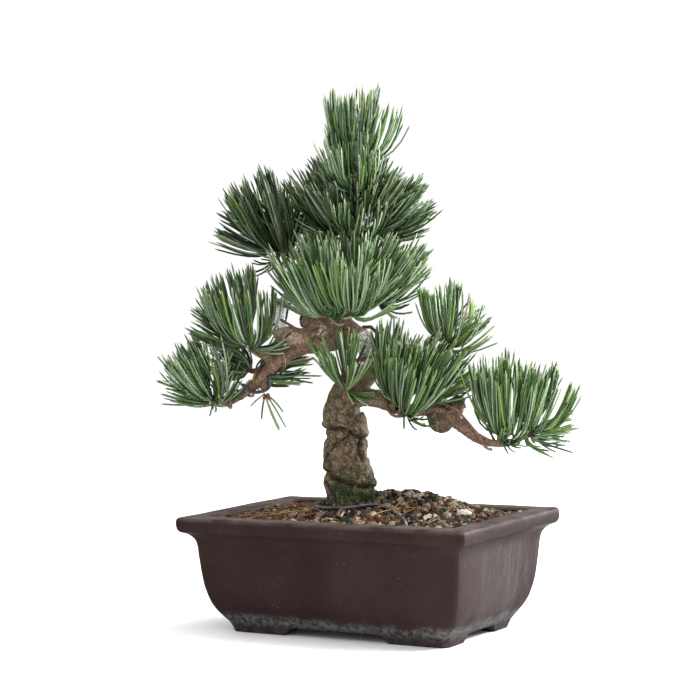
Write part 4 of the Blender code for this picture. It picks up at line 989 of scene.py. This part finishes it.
# moss leaves standing on the trunk's foot
rng = np.random.RandomState(5)
nor = normals_of(mesh)
chance = np.clip(moss, 0, 1) ** 1.5
pick = np.where(rng.rand(len(pos)) < chance * 0.30)[0]
roots = new[pick]
grow = nor[pick] * 0.8 + np.array((0, 0, 0.75)) + rng.normal(0, 0.35, (len(pick), 3))
grow /= np.linalg.norm(grow, axis=1)[:, None]
size = rng.uniform(0.9, 2.3, len(pick))[:, None]
curves = np.stack([roots - nor[pick] * 0.3, roots + grow * size * 0.5 + nor[pick] * 0.2, roots + grow * size + rng.normal(0, 0.25, (len(pick), 3))], 1)
bright = np.clip(0.35 + 0.25 * rng.normal(size=len(pick)) + 0.45 * (np.linalg.norm(roots - (-6.0, -16.0, 101.5), axis=1) < 6.0), 0, 1)
moss_obj = blades("moss_leaves", curves, rng.uniform(0.16, 0.28, len(pick)), bright, np.zeros(len(pick)), MOSS, rows=3)
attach(moss_obj, "root")

# callus round the cut stub, and the dead twig over the right branch
arc = np.linspace(math.radians(-60), math.radians(235), 22)
face = unit((-0.42, -0.89, 0.10))
fa = unit(np.cross((0, 0, 1.0), face))
fb = np.cross(face, fa)
centre = np.array((-41.9, -18.6, 238.5))
ring = np.array([(*(centre + fa * 5.6 * math.cos(q) + fb * 5.4 * math.sin(q)), 1.35 + 0.3 * math.sin(3 * q)) for q in arc])
plug = np.array([(*(centre - face * 4.0), 4.6), (*(centre - face * 0.9), 4.5), (*(centre - face * 0.3), 3.2)])
chunks = [tube_arrays(ring, 12), tube_arrays(plug, 24)]
snag = catmull([(-56.0, -23.0, 228.0, 3.4), (-62.0, -22.8, 237.0, 4.2), (-62.6, -21.9, 244.6, 4.8), (-61.0, -20.6, 251.5, 4.2), (-58.5, -18.7, 257.6, 2.8), (-57.2, -17.8, 260.7, 1.1)], 4)
chunks.append(tube_arrays(snag, 16))
twigs = [
    [(97.0, 26.4, 143.8, 1.2), (94.0, 25.6, 150.5, 1.0), (89.6, 24.8, 158.6, 0.9), (87.4, 24.4, 167.2, 0.6)],
    [(50.0, 13.0, 171.6, 1.3), (52.6, 10.2, 176.0, 1.0), (53.8, 9.4, 180.0, 0.5)],
    [(-86.0, -36.4, 186.4, 1.3), (-88.6, -38.8, 190.4, 1.0), (-91.4, -40.2, 192.6, 0.5)],
    [(22.0, 26.6, 204.0, 1.2), (24.6, 27.0, 208.4, 0.9), (25.8, 26.6, 211.6, 0.5)],
    [(-38.0, 1.6, 252.0, 1.2), (-40.4, -1.6, 256.4, 0.9), (-42.6, -2.4, 260.0, 0.5)],
]
for t in twigs:
    chunks.append(tube_arrays(catmull(t, 4), 8))
v, f = join_arrays(chunks)
callus = make_object("stub_callus_and_dead_twigs", v, f, BARK)
mod = callus.modifiers.new("finer", "SUBSURF")
mod.levels = mod.render_levels = 1
mesh = applied(callus)
outward(mesh)
p = points_of(mesh) / MM + CENTRE
nrm = normals_of(mesh)
mesh.vertices.foreach_set("co", row(p + nrm * (fractal(p / 2.4, 71, 3) * 0.22)[:, None]).ravel())
mesh.update()
tone = np.tile(np.array((0.185, 0.122, 0.095)), (len(p), 1))
tone = mixed(tone, np.array((0.085, 0.052, 0.040)), step(fractal(p / 2.2, 72, 3), 0.0, 0.5) * 0.7)
tone = mixed(tone, np.array((0.290, 0.205, 0.160)), (np.linalg.norm(p - centre, axis=1) < 4.2) * 0.75)
tone = mixed(tone, np.array((0.060, 0.050, 0.040)), (p[:, 0] > 80) * 0.7)
bleached = step(np.min(np.linalg.norm(p[:, None] - snag[None, :, :3], axis=2) - snag[None, :, 3], axis=1), 1.6, 0.8)
tone = mixed(tone, np.array((0.93, 0.97, 1.0)), bleached * 0.97)
colours(mesh, "bark_tone", tone)
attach(callus, "root")


# ---------------------------------------------------------------------- pot
HALF_X, HALF_Y = POT_LENGTH / 2, POT_WIDTH / 2


def pot_ring(inset, z, arc=9, long_steps=22, short_steps=14):
    radius = POT_CORNER_R + 0.09 * inset
    hx, hy = HALF_X - inset, HALF_Y - inset
    out = []
    corners = ((1, 1, 0), (-1, 1, 90), (-1, -1, 180), (1, -1, 270))
    for i, (cx, cy, start) in enumerate(corners):
        pts = [(cx * (hx - radius) + radius * math.cos(math.radians(start + 90.0 * k / (arc - 1))),
                cy * (hy - radius) + radius * math.sin(math.radians(start + 90.0 * k / (arc - 1)))) for k in range(arc)]
        out += pts
        nx, ny, ns = corners[(i + 1) % 4]
        nxt = (nx * (hx - radius) + radius * math.cos(math.radians(ns)), ny * (hy - radius) + radius * math.sin(math.radians(ns)))
        n = long_steps if i % 2 == 0 else short_steps
        for k in range(1, n):
            out.append((pts[-1][0] + (nxt[0] - pts[-1][0]) * k / n, pts[-1][1] + (nxt[1] - pts[-1][1]) * k / n))
    return np.array([(x, y, z) for x, y in out])


def loft(name, rings, material):
    n = len(rings[0])
    f = []
    for i in range(len(rings) - 1):
        for k in range(n):
            q = (k + 1) % n
            f.append((i * n + k, i * n + q, (i + 1) * n + q, (i + 1) * n + k))
    f.append(tuple(reversed(range(n))))
    f.append(tuple(range((len(rings) - 1) * n, len(rings) * n)))
    return make_object(name, np.vstack(rings), f, material)


outer = catmull(POT_OUTSIDE, 4)
inner = catmull(POT_INSIDE, 3)
pot = loft("pot_clay", [pot_ring(i, z) for i, z in np.vstack([outer, inner])], CLAY)
outward(pot.data)
mesh = pot.data
p = points_of(mesh) / MM + CENTRE
nrm = normals_of(mesh)
soft = step(p[:, 2], 1.0, 6.0)
wave = fractal(p / 46.0, 81, 2) * 0.34 + fractal(p / 9.0, 82, 2) * 0.10
mesh.vertices.foreach_set("co", row(p + nrm * (np.clip(wave, -0.7, 0.7) * soft)[:, None]).ravel())
mesh.update()


def cutter(name, verts, faces):
    obj = make_object(name, verts, faces, None)
    outward(obj.data)
    return obj


def tapered_bar(name, low, high, reach, along, top):
    rings = []
    for half, z in ((low + (low - high) / top * 2.0, -2.0), (high, top)):
        x, y = (half, reach) if along == "Y" else (reach, half)
        rings += [(x, y, z), (-x, y, z), (-x, -y, z), (x, -y, z)]
    return cutter(name, rings, [(0, 1, 2, 3), (4, 5, 6, 7), (0, 1, 5, 4), (1, 2, 6, 5), (2, 3, 7, 6), (3, 0, 4, 7)])


def post(name, x, radius, z0, z1, sides=40):
    rings = [(x + radius * math.cos(2 * math.pi * k / sides), radius * math.sin(2 * math.pi * k / sides), z)
             for z in (z0, z1) for k in range(sides)]
    faces = [(k, (k + 1) % sides, sides + (k + 1) % sides, sides + k) for k in range(sides)]
    faces += [tuple(range(sides)), tuple(range(sides, 2 * sides))]
    return cutter(name, rings, faces)


cutters = [
    tapered_bar("cut_front", *FOOT_GAP_X, 100.0, "Y", FOOT_HEIGHT),
    tapered_bar("cut_side", *FOOT_GAP_Y, 130.0, "X", FOOT_HEIGHT),
    tapered_bar("cut_under", FOOT_RECESS[0], FOOT_RECESS[0], FOOT_RECESS[1], "Y", FOOT_HEIGHT + 0.4),
    post("cut_drain_left", -DRAIN_X, DRAIN_R, 2.0, 20.0),
    post("cut_drain_right", DRAIN_X, DRAIN_R, 2.0, 20.0),
]
for c in cutters:
    mod = pot.modifiers.new(c.name, "BOOLEAN")
    mod.operation = "DIFFERENCE"
    mod.solver = "EXACT"
    mod.object = c
mesh = applied(pot)
for c in cutters:
    old_mesh = c.data
    bpy.data.objects.remove(c, do_unlink=True)
    bpy.data.meshes.remove(old_mesh)
mod = pot.modifiers.new("worn_edges", "BEVEL")
mod.width = 0.0007
mod.segments = 2
mod.limit_method = "ANGLE"
mod.angle_limit = math.radians(40)
mesh = applied(pot)
mesh.materials.clear()
mesh.materials.append(CLAY)
mesh.polygons.foreach_set("material_index", [0] * len(mesh.polygons))
mesh.polygons.foreach_set("use_smooth", [True] * len(mesh.polygons))
mesh.set_sharp_from_angle(angle=math.radians(38))
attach(pot, "root")
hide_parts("pot")


# --------------------------------------------------------------------- soil
def soil_height(x, y):
    z = SOIL_EDGE_Z + 0.0 * x
    for mx, my, height, spread in SOIL_MOUNDS:
        z = z + height * np.exp(-((x - mx) ** 2 + (y - my) ** 2) / (2.0 * spread ** 2))
    return z + 0.55 * np.sin(0.71 * x + 1.3) * np.sin(0.83 * y) + 0.4 * np.sin(0.37 * x - 0.52 * y)


rings = []
for inset, z in reversed([q for q in POT_INSIDE if q[1] < 84.0]):
    rings.append(pot_ring(inset + 0.5, z + (0.4 if z < 20 else 0.0)))
top = pot_ring(19.1, 0.0)
for share in np.linspace(1.0, 0.02, 46):
    ring = top * share
    ring[:, 2] = soil_height(ring[:, 0], ring[:, 1]) - 1.6 + 0.9 * noise(ring / 3.2, 91) - (1.2 if share == 1.0 else 0.0)
    rings.append(ring)
soil = loft("soil_fines", rings, SOIL)
outward(soil.data)
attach(soil, "root")
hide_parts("soil")

ANCHOR = np.array([
    (-36.0, -23.5), (-25.0, -26.6), (-15.5, -26.8), (-5.3, -26.1), (2.5, -21.0),
    (10.5, -15.0), (20.0, -13.6), (29.5, -16.8), (41.7, -25.0), (54.0, -38.5)])
rng = np.random.RandomState(3)


def ico(level):
    bm = bmesh.new()
    bmesh.ops.create_icosphere(bm, subdivisions=level, radius=1.0)
    bm.verts.ensure_lookup_table()
    v = np.array([q.co[:] for q in bm.verts])
    f = [tuple(q.index for q in face.verts) for face in bm.faces]
    bm.free()
    return v, f


def grains(name, count, low, high, level, lift_by, seed):
    rng = np.random.RandomState(seed)
    bv, bf = ico(level)
    verts, faces, shade, shadow = [], [], [], []
    total = 0
    placed = 0
    while placed < count:
        x = rng.uniform(-103.5, 103.5)
        y = rng.uniform(-61.5, 61.5)
        from_trunk = math.hypot(x + 16.3, y - 0.0)
        if from_trunk < 18.5:
            continue
        line = 99.0
        for a, b in zip(ANCHOR, ANCHOR[1:]):
            t = min(1.0, max(0.0, float((np.array((x, y)) - a) @ (b - a) / ((b - a) @ (b - a)))))
            line = min(line, float(np.linalg.norm(np.array((x, y)) - a - t * (b - a))))
        size = rng.uniform(low, high) * 0.5
        if line < size + 0.6 and rng.rand() < 0.85:
            continue
        if math.hypot(x - 72.5, y - 19.5) < 5.5 + size:
            continue
        shape = rng.uniform(0.72, 1.2, 3) * size
        v = bv * (1.0 + 0.16 * rng.normal(size=(len(bv), 1)))
        for _ in range(3):
            cut = unit(rng.normal(size=3))
            far = v @ cut
            v = v - np.clip(far - 0.72, 0, None)[:, None] * cut
        v = v * shape
        spin = Matrix.Rotation(rng.uniform(0, 6.28), 3, Vector(unit(rng.normal(size=3))))
        v = v @ np.array(spin).T
        z = float(soil_height(np.array(x), np.array(y))) - 1.0 + lift_by * size + rng.uniform(-0.5, 0.9)
        verts.append(v + (x, y, z))
        faces += [tuple(i + total for i in face) for face in bf]
        total += len(v)
        g = float(np.clip(rng.beta(0.95, 0.95), 0, 1))
        if x < -30.0 and rng.rand() < 0.62:
            g = rng.uniform(0.30, 0.60)
        near_dark = max(0.0, 1.0 - max(0.0, from_trunk - 20.0) / 13.0) * (0.5 + 0.5 * rng.rand())
        if x > 2.0 and abs(y) < 44.0 and rng.rand() < 0.24:
            near_dark = max(near_dark, 0.92)
        if rng.rand() < 0.06:
            near_dark = max(near_dark, 0.8)
        shade += [g] * len(v)
        shadow += [min(0.95, near_dark * 0.9)] * len(v)
        placed += 1
    obj = make_object(name, np.vstack(verts), faces, GRAVEL, smooth=False)
    attribute(obj.data, "g_rand", shade)
    attribute(obj.data, "g_dark", shadow)
    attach(obj, "root")
    return obj


grains("gravel_coarse", 1650, 3.4, 7.4, 2, 0.38, 21)
grains("gravel_fine", 2000, 2.0, 3.6, 1, 0.50, 22)

bv, bf = ico(5)
lumps = fractal(bv * 1.6, 95, 3) * 0.10 + noise(bv * 7.0, 96) * 0.018
pebble_z = SOIL_EDGE_Z + sum(h * math.exp(-((72.5 - a) ** 2 + (19.5 - b) ** 2) / (2 * s * s)) for a, b, h, s in SOIL_MOUNDS) + 1.0
pebble = make_object("pebble_stone", bv * (1 + lumps)[:, None] * (6.0, 5.0, 3.8) + (72.5, 19.5, pebble_z), bf, STONE)
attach(pebble, "root")
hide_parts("pebble")

# litter on the soil: a pale stick, a twig, a sprout, fallen needles
chunks = []


def ground(x, y, up_by):
    return (x, y, float(soil_height(np.array(float(x)), np.array(float(y)))) + up_by)


sticks = [
    ([(*ground(-1.0, -35.0, 2.8), 0.75), (*ground(1.0, -41.0, 3.0), 0.85), (*ground(3.2, -46.5, 2.8), 0.8)], 0),
    ([(*ground(34.0, 8.0, 0.0), 0.9), (*ground(34.3, 7.8, 4.0), 0.7), (*ground(34.0, 8.4, 7.5), 0.5)], 1),
    ([(*ground(46.0, 4.0, 0.0), 0.8), (*ground(46.3, 4.4, 3.6), 1.3), (*ground(45.6, 4.6, 7.0), 0.5)], 1),
    ([(*ground(60.0, -30.0, 2.2), 0.8), (*ground(66.0, -33.0, 2.8), 0.9), (*ground(72.0, -32.0, 2.4), 0.5)], 1),
    ([(*ground(-62.0, -28.0, 2.2), 0.7), (*ground(-55.0, -31.0, 3.0), 0.8), (*ground(-49.0, -29.5, 2.2), 0.5)], 0),
    ([(*ground(-30.0, 36.0, 2.2), 0.8), (*ground(-22.0, 40.0, 3.0), 0.9), (*ground(-14.0, 41.5, 2.2), 0.5)], 1),
]
tone = []
for path, which in sticks:
    v, f = tube_arrays(catmull(path, 4), 9)
    chunks.append((v, f))
    tone += [(0.46, 0.37, 0.26) if which == 0 else (0.070, 0.052, 0.038)] * len(v)
v, f = join_arrays(chunks)
litter = make_object("litter_sticks", v, f, BARK)
outward(litter.data)
colours(litter.data, "bark_tone", np.array(tone))
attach(litter, "root")
fallen = []
for _ in range(34):
    x, y = rng.uniform(-95, 95), rng.uniform(-55, 55)
    if math.hypot(x + 16.3, y) < 24:
        continue
    a = rng.uniform(0, 6.28)
    d = np.array((math.cos(a), math.sin(a))) * rng.uniform(8, 17)
    p0, p2 = ground(x - d[0], y - d[1], 2.6), ground(x + d[0], y + d[1], 2.6)
    if abs(p0[0]) > 103 or abs(p2[0]) > 103 or abs(p0[1]) > 61 or abs(p2[1]) > 61:
        continue
    fallen.append((p0, ground(x + rng.uniform(-3, 3), y + rng.uniform(-3, 3), 4.0), p2))
n = len(fallen)
DRY = Shader("dry_needle", 0.7, spec=0.3)
DRY.colour(DRY.ramp(DRY.attr("n_rand"), [(0.0, (0.15, 0.075, 0.035)), (0.6, (0.26, 0.14, 0.065)), (1.0, (0.36, 0.24, 0.12))]))
DRY.bump(DRY.noise(1500.0, 3.0), 0.0002)
dead = blades("fallen_needles", fallen, 0.5, rng.rand(n), np.zeros(n), DRY.mat)
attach(dead, "root")

# ------------------------------------------------- finishes on the CAD wires
for name, obj in NODES.items():
    finish = None
    if name in ("training_wire_slack", "training_wire_high"):
        finish = BLACK
    elif name.startswith("training_wire"):
        finish = BROWN
    elif name == "anchor_wire":
        finish = GREY
    elif name.startswith("drain_mesh"):
        finish = PLASTIC
    elif name.startswith("mesh_clip"):
        finish = STEEL
    if finish:
        for s in obj.material_slots:
            s.material = finish

# ------------------------------------------------------------------- studio
bm = bmesh.new()
bmesh.ops.create_circle(bm, cap_ends=True, segments=96, radius=14.0)
floor_mesh = bpy.data.meshes.new("floor")
bm.to_mesh(floor_mesh)
bm.free()
floor = bpy.data.objects.new("floor", floor_mesh)
pieces.objects.link(floor)
m = Shader("pale_floor", 0.9, spec=0.0)
m.colour(m.mix(m.band(m.noise(1.2, 2.0), 0.3, 0.7), (0.972, 0.970, 0.968), (0.978, 0.979, 0.982)))
floor_mesh.materials.append(m.mat)
floor.location = (0, 0, -0.0002)

world = bpy.data.worlds.new("studio")
world.use_nodes = True
world.node_tree.nodes["Background"].inputs["Color"].default_value = (0.99, 0.995, 1.0, 1.0)
world.node_tree.nodes["Background"].inputs["Strength"].default_value = 1.04
scene.world = world
scene.view_settings.view_transform = "Standard"


def softbox(name, azimuth, elevation, distance, size, power, colour):
    data = bpy.data.lights.new(name, "AREA")
    data.shape = "DISK"
    data.size = size
    data.energy = power
    data.color = colour
    obj = bpy.data.objects.new(name, data)
    a, e = math.radians(azimuth), math.radians(elevation)
    at = Vector((math.sin(a) * math.cos(e), -math.cos(a) * math.cos(e), math.sin(e))) * distance + Vector((0, 0, 0.2))
    obj.matrix_world = Matrix.Translation(at) @ (Vector((0, 0, 0.2)) - at).to_track_quat("-Z", "Y").to_matrix().to_4x4()
    scene.collection.objects.link(obj)


softbox("key", 100.0, 38.0, 1.8, 0.7, 42.0, (1.0, 0.99, 0.97))
softbox("sheen", 153.0, 9.0, 2.2, 0.9, 80.0, (0.94, 0.97, 1.0))
softbox("fill", 10.0, 40.0, 2.2, 1.2, 7.0, (1.0, 0.98, 0.95))
softbox("top", 30.0, 80.0, 1.8, 1.0, 10.0, (0.97, 0.99, 1.0))
